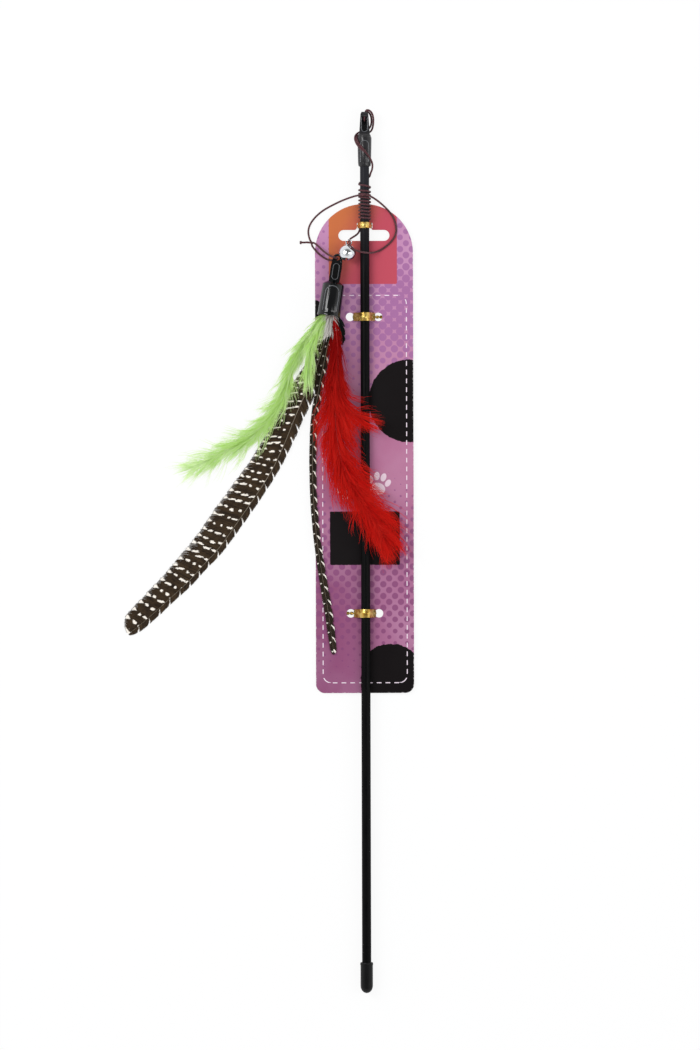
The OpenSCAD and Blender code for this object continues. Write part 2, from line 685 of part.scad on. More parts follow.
guinea_right_share = [0.15, 0.18, 0.25, 0.5, 0.8, 1, 1, 1, 0.9, 0.8, 0.75, 0.75, 0.75, 0.75,
    0.75, 0.75, 0.7, 0.15];
module guinea_feather_long() {
    color("#3a2c20") blade(rounded(moved(guinea_route, hang), 1), long_vane_w, guinea_left_share,
        thin_vane_w, guinea_right_share, vane_thick, vane_section, vane_dent / 2, vane_dent_gap);
}
narrow_route = [[-19, 412.2, 0.4], [-19.6, 405, 0.2], [-21.6, 397, -0.3], [-24.4, 385, -1.2],
    [-28.6, 364, -1.9], [-31, 350, -2.5], [-32.2, 335, -3], [-32.4, 314, -3.05],
    [-31.7, 292.6, -3.05], [-29.8, 272, -3.05], [-26.6, 250, -3.05], [-22.8, 228, -3.05],
    [-20.4, 209, -3.05], [-19.6, 202, -3.05]];
narrow_share = [0.35, 0.4, 0.6, 0.9, 1, 1, 1, 1, 1, 1, 1, 0.9, 0.75, 0.2];
module guinea_feather_narrow() {
    color("#33261b") blade(rounded(moved(narrow_route, hang), 1), narrow_half, narrow_share, narrow_half,
        narrow_share, vane_thick, slim_section, vane_dent, vane_dent_gap);
}
lime_route = [[-24.4, 412.9, 3], [-27.2, 406, 3], [-33.4, 397.6, 2.4], [-39.8, 388.4, 1.6],
    [-45, 375.4, 0.8], [-49.8, 361, -0.2], [-55, 351, -1], [-61.6, 341, -1.8],
    [-67.4, 333.6, -2.5], [-75, 327.4, -2.9], [-84, 322.8, -3], [-92, 319.4, -3.1],
    [-100, 316.4, -3.2], [-107, 313, -3.3], [-113, 309, -3.4]];
lime_share = [0.12, 0.35, 0.55, 0.75, 0.85, 0.9, 0.95, 1, 1, 1, 1, 0.95, 0.85, 0.6, 0.15];
module lime_plume_long() {
    color("#9ad24a") blade(rounded(moved(lime_route, hang), 1), lime_half, lime_share, lime_half, lime_share,
        plume_thick, plume_section, plume_dent, plume_dent_gap);
}
lime_short_route = [[-23.6, 413, 6], [-26, 405.6, 6.2], [-30, 398, 6.4], [-33.6, 389, 6],
    [-35.4, 379, 5.4], [-36, 369.6, 4.6], [-36, 363, 4]];
lime_short_half = 3.4;
lime_short_share = [0.2, 0.6, 0.9, 1, 1, 0.8, 0.2];
module lime_plume_short() {
    color("#a4d653") blade(rounded(moved(lime_short_route, hang), 2), lime_short_half, lime_short_share,
        lime_short_half, lime_short_share, slim_thick, plume_section, plume_dent, plume_dent_gap);
}
red_route = [[-19.2, 412.4, 3.6], [-18, 405, 4], [-18.8, 389, 3.7], [-19, 370.6, 3.4],
    [-17.4, 352, 3.8], [-14.2, 334, 4.8], [-9.4, 315.4, 5.5], [-2.8, 300, 5.9], [6.2, 286.6, 5.9],
    [15.6, 274.6, 5.9], [20.6, 267.6, 5.9], [23, 262, 5.9]];
red_share = [0.05, 0.18, 0.45, 0.6, 0.8, 0.95, 1, 1, 1, 0.85, 0.6, 0.15];
module red_plume_long() {
    color("#c41a1c") blade(rounded(moved(red_route, hang), 2), red_half, red_share, red_half, red_share,
        plume_thick, plume_section, plume_dent, plume_dent_gap);
}
red_short_route = [[-19.8, 412.5, 7.1], [-18.2, 405, 7.5], [-16.6, 390, 7.6], [-16.4, 372, 7.4],
    [-14.4, 358.4, 7.2], [-6.4, 349.4, 7], [4, 344.8, 6.6], [14, 343, 6.4]];
red_short_half = 5;
red_short_share = [0.12, 0.3, 0.75, 0.9, 1, 1, 0.85, 0.2];
module red_plume_short() {
    color("#d3242a") blade(rounded(moved(red_short_route, hang), 2), red_short_half, red_short_share,
        red_short_half, red_short_share, slim_thick, plume_section, plume_dent, plume_dent_gap);
}
fluff_route = [[-21, 412.7, 1.7], [-20.8, 408, 1.7], [-20.4, 403, 1.6], [-20.2, 397.6, 1.5]];
fluff_half = 3.2;
fluff_share = [0.3, 0.5, 1, 0.25];
fluff_thick = 0.9;
module base_fluff() {
    color("#d8d4d2") blade(rounded(moved(fluff_route, hang), 2), fluff_half, fluff_share,
        fluff_half, fluff_share, fluff_thick, plume_section, plume_dent, plume_dent_gap);
}
dark_route = [[-18.3, 412.2, 1.6], [-18.1, 408.6, 1.5], [-17, 405.4, 0.9], [-14.9, 399.5, -0.2],
    [-13.9, 391.6, -1]];
dark_half = 2.3;
dark_share = [0.2, 0.22, 0.7, 1, 0.3];
module dark_feather() {
    color("#1d2b22") blade(rounded(moved(dark_route, hang), 2), dark_half, dark_share, dark_half, dark_share,
        vane_thick, slim_section, vane_dent, vane_dent_gap);
}

// the smallest gap between two places of the winding, and each cord part's length
wind_gap = min([for (i = [0:len(wind_path) - 1], j = [i + wind_rings / 2:len(wind_path) - 1])
    norm(wind_path[i] - wind_path[j])]) - cord_d;
echo(wind_gap = wind_gap);
echo(lengths = [for (p = [lead_route, hitch_route, wind_path, loop_path, eye_route, tail_route])
    path_len(p)]);

rod();
end_cap();
tip_connector();
cord_lead();
cord_hitch();
cord_winding();
cord_loop();
cord_eye();
cord_tail();
tip_knot();
eye_knot();
tail_knot();
backing_card();
twist_tie_top();
twist_tie_middle();
twist_tie_bottom();
bell_upper_shell();
bell_lower_shell();
bell_loop();
bell_pellet();
lure_cap();
glue_plug();
guinea_feather_long();
guinea_feather_narrow();
lime_plume_long();
lime_plume_short();
red_plume_long();
red_plume_short();
base_fluff();
dark_feather();
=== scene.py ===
import json
import math
import random

import bmesh
import bpy
import numpy as np
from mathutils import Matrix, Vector


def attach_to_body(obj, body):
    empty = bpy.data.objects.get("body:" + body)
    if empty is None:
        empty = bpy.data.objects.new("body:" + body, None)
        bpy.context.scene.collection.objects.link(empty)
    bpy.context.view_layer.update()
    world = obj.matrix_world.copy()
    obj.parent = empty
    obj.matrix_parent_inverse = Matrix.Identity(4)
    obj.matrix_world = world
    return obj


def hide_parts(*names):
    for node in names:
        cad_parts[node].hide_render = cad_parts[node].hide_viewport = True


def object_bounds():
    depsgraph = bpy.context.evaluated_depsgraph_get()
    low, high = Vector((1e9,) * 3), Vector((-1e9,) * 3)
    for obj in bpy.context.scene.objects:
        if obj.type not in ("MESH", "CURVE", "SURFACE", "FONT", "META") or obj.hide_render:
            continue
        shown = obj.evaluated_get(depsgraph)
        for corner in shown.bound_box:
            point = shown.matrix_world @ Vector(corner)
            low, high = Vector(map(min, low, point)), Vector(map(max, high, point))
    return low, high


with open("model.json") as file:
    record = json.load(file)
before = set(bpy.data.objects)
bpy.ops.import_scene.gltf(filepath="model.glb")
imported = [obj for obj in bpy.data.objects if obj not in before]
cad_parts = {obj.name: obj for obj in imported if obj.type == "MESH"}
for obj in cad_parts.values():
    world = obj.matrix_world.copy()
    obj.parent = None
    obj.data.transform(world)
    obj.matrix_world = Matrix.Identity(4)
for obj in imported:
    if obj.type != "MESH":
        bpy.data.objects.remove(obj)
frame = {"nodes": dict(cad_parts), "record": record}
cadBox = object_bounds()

mm = 0.001
nodes = frame["nodes"]
tableTop = cadBox[0][2]


def cutCorners(points, passes):
    path = np.array(points, dtype=float)
    for _ in range(passes):
        low, high = path[:-1], path[1:]
        cut = np.empty((2 * len(low), path.shape[1]))
        cut[0::2] = low * 0.75 + high * 0.25
        cut[1::2] = low * 0.25 + high * 0.75
        path = np.vstack([path[:1], cut, path[-1:]])
    return path


def travelled(path):
    return np.concatenate([[0.0], np.cumsum(np.linalg.norm(np.diff(path, axis=0), axis=1))])


def resample(path, step):
    at = travelled(path)
    count = max(3, int(round(at[-1] / step)) + 1)
    even = np.linspace(0.0, at[-1], count)
    return np.column_stack([np.interp(even, at, path[:, k]) for k in range(3)]), even


def directions(path):
    ends = np.vstack([path[1:2] - path[:1], path[2:] - path[:-2], path[-1:] - path[-2:-1]])
    return ends / np.maximum(np.linalg.norm(ends, axis=1), 1e-12)[:, None]


def transported(path, first):
    along = directions(path)
    side = np.empty_like(path)
    current = np.array(first, dtype=float)
    for i, tangent in enumerate(along):
        current = current - tangent * float(current @ tangent)
        current /= max(np.linalg.norm(current), 1e-12)
        side[i] = current
    return along, side, np.cross(along, side)


def turned(degrees):
    return math.cos(math.radians(degrees)), math.sin(math.radians(degrees))


def placed(name, data):
    item = bpy.data.objects.new(name, data)
    bpy.context.scene.collection.objects.link(item)
    return item


def addObject(name, vertices, faces, material, uv):
    mesh = bpy.data.meshes.new(name)
    mesh.from_pydata([tuple(v) for v in vertices], [], faces)
    layer = mesh.uv_layers.new(name="UVMap")
    corners = [loop.vertex_index for loop in mesh.loops]
    layer.data.foreach_set("uv", np.asarray(uv, dtype=np.float32)[corners].ravel())
    mesh.shade_smooth()
    mesh.update()
    mesh.materials.append(material)
    return placed(name, mesh)


# a closed tube along a path, with ply strands that twist round it once in each pitch
def tubePiece(name, look, path, radius, sides, first, ply=0, pitch=1.0, depth=0.0):
    along, side, up = transported(path, first)
    lengths = travelled(path)
    radii = np.broadcast_to(radius, len(path))
    vertices, uv = [], []
    for i, point in enumerate(path):
        turn = 2 * math.pi * lengths[i] / pitch
        for k in range(sides):
            angle = 2 * math.pi * k / sides
            lobe = 1.0
            if ply:
                lobe = 1.0 - depth * (1.0 - abs(math.cos(ply * (angle - turn) / 2)))
            r = radii[i] * lobe
            vertices.append(point + r * (side[i] * math.cos(angle) + up[i] * math.sin(angle)))
            uv.append((lengths[i], angle / (2 * math.pi)))
    faces = []
    for i in range(len(path) - 1):
        for k in range(sides):
            a, b = i * sides + k, i * sides + (k + 1) % sides
            faces.append((a, b, b + sides, a + sides))
    faces.append(tuple(range(sides - 1, -1, -1)))
    last = (len(path) - 1) * sides
    faces.append(tuple(range(last, last + sides)))
    return addObject(name, vertices, faces, look, uv)


bodyOf = {node: body for body, group in frame["record"]["behaviour"]["bodies"].items() for node in group}
softEdges = {"weld": 2e-6, "flat": 0.6, "bend": 35, "sharp": 32}   # metres, then degrees between faces


# a copy of a CAD node with softened edges, which stands for the node
def dressed(node, material, bevel, segments=2):
    work = bmesh.new()
    work.from_mesh(nodes[node].data)
    bmesh.ops.remove_doubles(work, verts=work.verts, dist=softEdges["weld"])
    bmesh.ops.dissolve_limit(work, angle_limit=math.radians(softEdges["flat"]), verts=work.verts, edges=work.edges)
    mesh = bpy.data.meshes.new(node + "Dressed")
    work.to_mesh(mesh)
    work.free()
    piece = placed(node + "Dressed", mesh)
    mesh.materials.clear()
    mesh.materials.append(material)
    modifier = piece.modifiers.new("softEdges", "BEVEL")
    modifier.width, modifier.segments = bevel, segments
    modifier.limit_method = "ANGLE"
    modifier.angle_limit = math.radians(softEdges["bend"])
    modifier.use_clamp_overlap = True
    applied = bpy.data.meshes.new_from_object(piece.evaluated_get(bpy.context.evaluated_depsgraph_get()))
    piece.modifiers.clear()
    piece.data = applied
    applied.shade_smooth()
    applied.set_sharp_from_angle(angle=math.radians(softEdges["sharp"]))
    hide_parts(node)
    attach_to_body(piece, bodyOf[node])
    return piece


# one value in a material's nodes; arithmetic on it adds the nodes that work it out
class Wire:
    def __init__(self, shade, socket):
        self.shade, self.socket = shade, socket

    def __rsub__(self, other):
        return self.shade.math("SUBTRACT", other, self)


def wireMath(kind):
    return lambda wire, *others: wire.shade.math(kind, wire, *others)


for name, kind in {"__add__": "ADD", "__sub__": "SUBTRACT", "__mul__": "MULTIPLY", "__truediv__": "DIVIDE",
                   "__pow__": "POWER", "__abs__": "ABSOLUTE", "most": "MAXIMUM", "least": "MINIMUM",
                   "part": "FRACT", "whole": "FLOOR"}.items():
    setattr(Wire, name, wireMath(kind))


# one material, or the world, and the nodes that its surface is fed from
class Shade:
    def __init__(self, name, made=bpy.data.materials, surface="Principled BSDF", **values):
        self.material = made.new(name)
        self.material.use_nodes = True
        self.tree = self.material.node_tree
        self.surface = self.tree.nodes[surface]
        self.wear(**values)

    def put(self, kind, **inputs):
        node = self.tree.nodes.new(kind)
        for key, value in inputs.items():
            if hasattr(node, key):
                setattr(node, key, value)
            else:
                self.feed(node.inputs[key.replace("_", " ")], value)
        return node

    # value is a wire, a node's socket, a colour code or a plain number
    def feed(self, socket, value):
        if isinstance(value, (Wire, bpy.types.NodeSocket)):
            self.tree.links.new(getattr(value, "socket", value), socket)
        else:
            socket.default_value = linear(value) if isinstance(value, str) else value

    # feeds a node's first inputs in turn
    def fed(self, node, *values):
        for socket, value in zip(node.inputs, values):
            self.feed(socket, value)
        return Wire(self, node.outputs[0])

    def math(self, operation, *values):
        return self.fed(self.put("ShaderNodeMath", operation=operation), *values)

    # start where value is under low, end where it is over high, smooth between
    def step(self, value, low, high, start=0.0, end=1.0):
        node = self.put("ShaderNodeMapRange", interpolation_type="SMOOTHSTEP")
        return self.fed(node, value, low, high, start, end)

    def mix(self, factor, low, high):
        node = self.put("ShaderNodeMix", data_type="RGBA")
        for index, value in ((0, factor), (6, low), (7, high)):
            self.feed(node.inputs[index], value)
        return Wire(self, node.outputs[2])

    def place(self, kind="Object"):
        return Wire(self, self.put("ShaderNodeTexCoord").outputs[kind])

    def split(self, vector):
        return [Wire(self, output) for output in self.put("ShaderNodeSeparateXYZ", Vector=vector).outputs]

    def noise(self, vector, scale, detail=3.0, roughness=0.55):
        node = self.put("ShaderNodeTexNoise", Scale=scale, Detail=detail, Roughness=roughness)
        return self.fed(node, vector)

    def stretched(self, vector, scale):
        return self.fed(self.put("ShaderNodeVectorMath", operation="MULTIPLY"), vector, scale)

    def bump(self, height, distance, strength=1.0, under=None):
        node = self.put("ShaderNodeBump", Strength=strength, Distance=distance, Height=height)
        if under is not None:
            self.feed(node.inputs["Normal"], under)
        return Wire(self, node.outputs[0])

    # lays another shader over the surface, by a share of it
    def cover(self, share, other):
        both = self.fed(self.put("ShaderNodeMixShader"), share, self.surface.outputs[0], other.outputs[0])
        self.feed(self.tree.nodes["Material Output"].inputs["Surface"], both)

    def wear(self, **sockets):
        for key, value in sockets.items():
            self.feed(self.surface.inputs[key.replace("_", " ")], value)
        return self.material


def linear(code):
    values = [int(code[i:i + 2], 16) / 255 for i in (0, 2, 4)]
    return tuple(v / 12.92 if v <= 0.04045 else ((v + 0.055) / 1.055) ** 2.4 for v in values) + (1.0,)


camera = placed("camera", bpy.data.cameras.new("camera"))
bpy.context.scene.camera = camera
view = {"distance": 2.8, "middle": (-0.0095, 0.2816), "roll": -0.00272, "frameHeight": 0.6431, "sensor": 36.0}
camera.location = (*view["middle"], view["distance"])
camera.rotation_euler = (0.0, 0.0, view["roll"])
camera.data.sensor_fit = "VERTICAL"
camera.data.sensor_height = view["sensor"]
camera.data.lens = view["sensor"] * view["distance"] / view["frameHeight"]
camera.data.dof.use_dof = False
print("stage: camera")


# measures of the wand that the cord follows, in millimetres
rod = {"radius": 2.8, "sleeveLow": 501.1, "sleeveTop": 519.2, "neckTop": 534.5, "barY": 530.5}
card = {"top": 478.5, "face": -4.0, "middle": -0.5, "width": 60.2, "low": 178.5}
cord = {"diameter": 1.0, "turns": 9.75, "pitch": 2.07, "loose": 3.6, "steep": 11.6, "drop": 10.9, "lead": 0.5,
        "ringsPerTurn": 24, "ply": 3, "plyPitch": 2.4, "plyDepth": 0.26, "fullness": 1.28,
        "bellAt": (-9.7, 453.6, 8.8), "bellRoom": 6.0, "tighter": 0.2, "clearance": (0.1, 0.05), "bar": 0.8,
        "step": 0.26, "sides": 12, "fibre": 2600.0, "tint": 300.0, "fuzz": 0.12,
        "colours": ("2a0d12", "4a1a22", "84404a")}
onCard, onTable = -3.4, -6.5   # heights of the cord's middle where it lies on the card and on the table
windRadius = rod["radius"] + cord["clearance"][0] + cord["diameter"] / 2
bightY = rod["barY"] - cord["bar"] - cord["clearance"][1] - cord["diameter"] / 2


def moved(points, height):
    return [(x, y + height, z) for x, y, z in points]


def windHeight(turn):
    start = rod["sleeveLow"] - cord["drop"]
    if turn < 0:
        return start - cord["steep"] * turn
    if turn < 1:
        return start - cord["loose"] * turn
    return start - cord["loose"] - cord["pitch"] * (turn - 1)


def windPoint(turn):
    angle = 2 * math.pi * turn
    return (-windRadius * math.cos(angle), windHeight(turn), windRadius * math.sin(angle))


leadRoute = (
    moved([(0, 0, 0), (0, 0, 0.75), (0, 0.65, 1.3), (0.1, 2.35, 1.35)], bightY)
    + moved([(0.4, -0.5, 1.2), (1.2, 1.2, 0.9), (3, 1.1, 0.4), (4.8, -0.7, 0.1), (5.6, -4.1, -0.2)],
            rod["neckTop"])
    + moved([(5.4, 7.4, -0.8), (4.6, 4.4, -1.9), (2.9, 2.9, -3.5), (0, 2.4, -3.8), (-3.2, 1.8, -3.6),
             (-4.6, 0.6, -1.6), (-4.8, -1, 0.4), (-4.4, -2.6, 2.3)], rod["sleeveTop"])
    + moved([(-3, 12.9, 4.1), (-0.8, 10.3, 5.6), (1.6, 7.3, 5.5), (3.6, 4.5, 4), (4.7, 2.1, 2.5),
             (4.9, 0.1, 1.2), (4.6, -2.1, 0.6), (3.8, -3.7, 0.5)], rod["sleeveLow"])
    + [(windRadius, windHeight(-cord["lead"]), 0)])
hitchRoute = (
    moved([(0, 0, 0), (0, 0, -0.75), (0, 0.65, -1.3), (0, 2.35, -1.35)], bightY)
    + moved([(0.2, -0.9, -1.1), (0.9, 0.4, -1), (2.4, 0.2, -1), (3.8, -1.5, -1.2), (4.4, -4.5, -1.5)],
            rod["neckTop"])
    + moved([(4.2, 7.8, -2.4), (3, 5.4, -3.5), (0.4, 4.2, -4.1), (-2.8, 3.5, -3.8), (-4.9, 2.1, -2.5),
             (-5.9, 0.2, -0.4), (-5.8, -2, 1.4)], rod["sleeveTop"])
    + moved([(-4.9, 13.8, 3.1), (-3.3, 11.5, 4.7), (-1.7, 10, 5.7)], rod["sleeveLow"]))
loopRoute = [
    (0, windHeight(cord["turns"]), -windRadius), (-1.4, windHeight(cord["turns"]), -windRadius),
    (-2.6, 467.2, -3.3), (-2.9, 465, -3.3), (-3, 462.8, -3.2), (-3.8, 460.6, -2.8), (-5.6, 458.9, -1.2),
    (-7.6, 457.6, 1.4), (-9, 456.5, 4.2), (-9.7, 455.2, 6.5), (-9.8, 454.2, 8.2), (-9.2, 452.8, 9.8),
    (-8, 451, 10.2), (-6.2, 449.6, 9.2), (-3.6, 448.7, 7.2), (-1.4, 448.3, 5.4), (0.8, 448.1, 4.1),
    (3, 448, 2.5), (5.4, 448.4, -0.4), (8, 449.3, -2.6), (10.8, 450.7, onCard), (13.6, 452.8, onCard),
    (16.2, 455.2, onCard), (18.3, 458, onCard), (19.4, 461.4, onCard), (19.2, 465, onCard), (18.1, 469, onCard),
    (16, 472.8, onCard), (13, 476, -3.1), (9.6, 479, -2), (6.4, 481.2, 0.9), (3.8, 482.6, 3.4),
    (1.8, 483.3, 4.7), (-1.2, 483.4, 4.9), (-4.2, 483.3, 3), (-7.4, 482.7, -0.8), (-10.8, 481.8, -4.2),
    (-14.4, 480.5, -6), (-18, 478.8, onTable), (-22, 476.8, onTable), (-26, 474.4, onTable),
    (-29.8, 471.2, onTable), (-32.6, 467.8, onTable), (-34.2, 464.6, onTable), (-34.7, 461.6, onTable),
    (-34.3, 458.8, onTable), (-33.5, 456.5, -6.1)]
eyeKnotAt = (-32.6, 454.9, -5.8)
eyeRoute = [
    (-31.6, 454.9, -5.3), (-30.4, 454.3, -2.9), (-28, 452, -0.9), (-25, 448.9, 1.5), (-22.2, 446.9, 3.5),
    (-19.6, 445.6, 4.4), (-17.6, 444.9, 4.1), (-16.7, 444.8, 2.7), (-16.7, 444.8, 1.6), (-17, 444.6, 0.4),
    (-18.3, 444.2, -0.8), (-21, 443.9, -1.3), (-23.6, 444.6, -1.7), (-26.2, 446.2, -2.2), (-28.8, 448.4, -2.8),
    (-31, 450.9, -3.2), (-32.4, 453.2, -5.4)]
tailRoute = [
    (-33.8, 455, -6.1), (-35.4, 455.2, onTable), (-37, 455.1, onTable), (-38.8, 455.1, onTable)]
tailKnotAt = (-39.3, 455.1, -5.8)
tipKnotAt = (0, rod["sleeveLow"] + 9.2, 5.78)


def cordMaterial():
    shade = Shade("cordTwist", Roughness=0.5, Specular_IOR_Level=0.4, Sheen_Weight=cord["fuzz"])
    place = shade.place()
    fibre = shade.noise(place, cord["fibre"], 4.0, 0.7)
    dark, mid, light = cord["colours"]
    low = shade.mix(shade.noise(place, cord["tint"], 2.0), dark, mid)
    return shade.wear(Base_Color=shade.mix(shade.step(fibre, 0.45, 0.75), low, light),
                      Normal=shade.bump(fibre, 0.00012, 0.8))


cordLook = cordMaterial()
wound = [windPoint(i / cord["ringsPerTurn"] - cord["lead"])
         for i in range(int(round((cord["turns"] + cord["lead"]) * cord["ringsPerTurn"])) + 1)]
cordPoints = np.vstack([
    [tipKnotAt], cutCorners(hitchRoute, 1)[::-1], cutCorners(leadRoute, 1)[1:], np.array(wound)[1:],
    cutCorners(loopRoute, 1)[1:], [eyeKnotAt], cutCorners(eyeRoute, 1), [eyeKnotAt],
    cutCorners(tailRoute, 1), [tailKnotAt]]) * mm
cordPath, cordAt = resample(cutCorners(cordPoints, 2), cord["step"] * mm)
# drawn tighter where it runs through the bell's loop
fromBell = np.linalg.norm(cordPath - np.array(cord["bellAt"]) * mm, axis=1) / (cord["bellRoom"] * mm)
cordRadius = cord["diameter"] / 2 * mm * cord["fullness"] * (1 - cord["tighter"] * np.exp(-fromBell ** 2))
cordPiece = tubePiece("wandCord", cordLook, cordPath, cordRadius, cord["sides"], (1, 0, 0), cord["ply"],
                      cord["plyPitch"] * mm, cord["plyDepth"])
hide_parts("cord_lead", "cord_hitch", "cord_winding", "cord_loop", "cord_eye", "cord_tail")
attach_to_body(cordPiece, "wand")


knot = {"steps": 72, "radius": 0.4, "sides": 12, "plyPitch": 2.0, "plyDepth": 0.28}


# a small overhand knot: a tube along a trefoil, squeezed to the CAD knot's room
def knotPiece(node, at, turn, squeeze):
    curve = []
    for i in range(knot["steps"] + 1):
        t = 2 * math.pi * i / knot["steps"]
        curve.append((math.sin(t) + 2 * math.sin(2 * t), math.cos(t) - 2 * math.cos(2 * t), -math.sin(3 * t)))
    path = np.array(curve) * squeeze
    ca, sa = turned(turn)
    # the knot's flat side faces along the strand
    local = np.column_stack([path[:, 2] * ca - path[:, 1] * sa, path[:, 2] * sa + path[:, 1] * ca, path[:, 0]])
    piece = tubePiece(node + "Tied", cordLook, (local + np.array(at)) * mm, knot["radius"] * mm, knot["sides"],
                      (0.3, 0.2, 1), cord["ply"], knot["plyPitch"] * mm, knot["plyDepth"])
    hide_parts(node)
    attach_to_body(piece, "wand")
    return piece


knots = [knotPiece("tip_knot", tipKnotAt, -52, (0.42, 0.26, 0.26)),
         knotPiece("eye_knot", eyeKnotAt, 30, (0.33, 0.27, 0.27)),
         knotPiece("tail_knot", tailKnotAt, 0, (0.33, 0.27, 0.27))]
[tuple(p) for p in cordPath]


# worn moulded plastic, with an optional painted reflection: a lighter tone laid on the rod towards its tip
def mouldedPlastic(name, colour, roughness, scratch, grain, shine, paintedSheen=None, sheenFrom=0.42, sheenTo=0.51):
    shade = Shade(name, Roughness=roughness, Specular_IOR_Level=shine)
    place = shade.place()
    broad = shade.noise(place, 45.0, 2.0)
    streak = shade.noise(shade.stretched(place, (900.0, 14.0, 900.0)), 1.0, 2.0)
    dull = shade.step(broad, 0.3, 0.7, roughness - 0.06, roughness + 0.08)
    dull = dull + shade.step(streak, 0.55, 0.8, 0.0, scratch)
    tint = shade.mix(shade.step(broad, 0.3, 0.75), *colour)
    if paintedSheen:
        tint = shade.mix(shade.step(shade.split(place)[1], sheenFrom, sheenTo, 0.0, 0.85), tint, paintedSheen)
    return shade.wear(Base_Color=tint, Roughness=dull, Normal=shade.bump(shade.noise(place, 1400.0), grain, 0.35))


# the rod's lighter tone towards its tip is a painted reflection of the bright surroundings
rodLook = mouldedPlastic("rodPlastic", ("040405", "080808"), roughness=0.42, scratch=0.14, grain=0.00002,
                         shine=0.07, paintedSheen="2b2b30")
capLook = mouldedPlastic("capPlastic", ("0b0b0c", "111112"), roughness=0.4, scratch=0.05, grain=0.00004, shine=0.18)
tipLook = mouldedPlastic("tipPlastic", ("232224", "2e2d2f"), roughness=0.22, scratch=0.05, grain=0.00002,
                         shine=0.35)
# light grey for the beads: a painted highlight along the black mouldings' edges
paintedHighlightLook = mouldedPlastic("rimPaintedHighlight", ("4a4c50", "65676b"), roughness=0.3, scratch=0.06, grain=0.00002, shine=0.7)


def finish(node, material):
    nodes[node].data.materials.clear()
    nodes[node].data.materials.append(material)


finish("rod", rodLook)
dressed("end_cap", capLook, bevel=0.00018)
dressed("tip_connector", tipLook, bevel=0.00022)


# a raised bead on a moulding's front, along an outline in millimetres, coloured light grey as a painted highlight;
# turn puts its points into place
def rimPiece(name, outline, turn, body, bead=0.24):
    path, _ = resample(cutCorners(outline, 2), 0.3)
    piece = tubePiece(name, paintedHighlightLook, np.array([turn(p) for p in path]) * mm, bead * mm, 8, (0, 0, 1))
    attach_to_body(piece, body)


# outline of a round-ended panel: up one side, over the top, down the other; front gives its height
def archOf(half, low, high, front, closed=False):
    spring = high - half
    side = [low + (spring - low) * k / 4 for k in range(5)]
    arc = [(half * math.cos(math.pi * k / 10), half * math.sin(math.pi * k / 10)) for k in range(11)]
    points = [(-half, y) for y in side] + [(-x, spring + y) for x, y in arc[1:10]] + [(half, y) for y in side[::-1]]
    if closed:
        points += [(x, low - y) for x, y in arc[1:]]
    return [(x, y, front(x, y)) for x, y in points]


tipRims = {"windowHalf": 1.85, "windowLow": 522.2, "windowHigh": 531.2, "neckFront": 2.82, "archHalf": 2.5,
           "archLow": 503.6, "archHigh": 516.8, "sleeve": 4.56}
windowArch = archOf(tipRims["windowHalf"], tipRims["windowLow"], tipRims["windowHigh"],
                    lambda x, y: tipRims["neckFront"])
rimPiece("tipWindowRim", [(x, tipRims["windowLow"] + tipRims["windowHigh"] - y, z) for x, y, z in windowArch],
         lambda p: p, "wand")
rimPiece("tipArchRim", archOf(tipRims["archHalf"], tipRims["archLow"], tipRims["archHigh"],
                              lambda x, y: math.sqrt(tipRims["sleeve"] ** 2 - x * x)),
         lambda p: p, "wand")
print("stage: rod and fittings")


# the card's print, in millimetres from the wand's butt; boxes give middle, half sides and corner radius
cardPrint = {
    "upper": ("ae6c8e", "bd85ad"), "upperRise": (335.0, 450.0), "lower": ("89486f", "a3658a"),
    "lowerAcross": (-25.0, 15.0), "join": (235.0, 325.0), "haze": "e0c0d8",
    "dotPitch": 5.1, "dotLeast": 0.02, "dotGrowth": 0.5, "dotStrength": 0.85, "spots": ("844772", "9f679a"),
    "spotRise": (230.0, 400.0), "highDots": ((345.0, 405.0), (420.0, 468.0, 1.0, 0.6)),
    "highAcross": (-28.0, 20.0, 0.45, 1.0), "lowDots": ((180.0, 235.0), (262.0, 320.0, 0.72, 0.0)),
    "panel": (-1.2, 460.9, 20.9, 31.5, 0.9), "heat": ("c66d40", "bd4b5c"), "heatMiddle": 462.0,
    "label": (-0.4, 273.5, 21.4, 16.4, 0.8), "ink": "0e080a",
    "rounds": ((27.4, 357.6, 25.4, 25.4, 25.4), (15.5, 186.0, 18.5, 22.5, 17.0), (-31.5, 414.0, 6.0, 5.6, 5.0)),
    "border": (-0.4, 303.6, 25.8, 118.8, 5.0), "stitch": "efe0ea", "stitchHalf": 0.26, "stitchSoft": 0.08,
    "dashPitch": 5.4, "sideFrom": 20.9, "paw": "e6d3df",
    "paws": ((8.0, 306.0, 1.6, -12.0), (-12.5, 301.5, 1.15, 14.0)),   # place, scale and turn
    "pads": ((0, -1.4, 2.9, 2.3, 0), (-3.4, 1.5, 1.0, 1.5, 22), (-1.3, 3.3, 1.05, 1.6, 8),
             (1.3, 3.3, 1.05, 1.6, -8), (3.4, 1.5, 1.0, 1.5, -22)),
    "face": (-0.00415, -0.00406), "paper": ("d9d6d2", "ece9e4"), "scuff": "e9e4e4",
    "edge": (-0.5, 328.5, 30.1, 150.0, 5.5)}


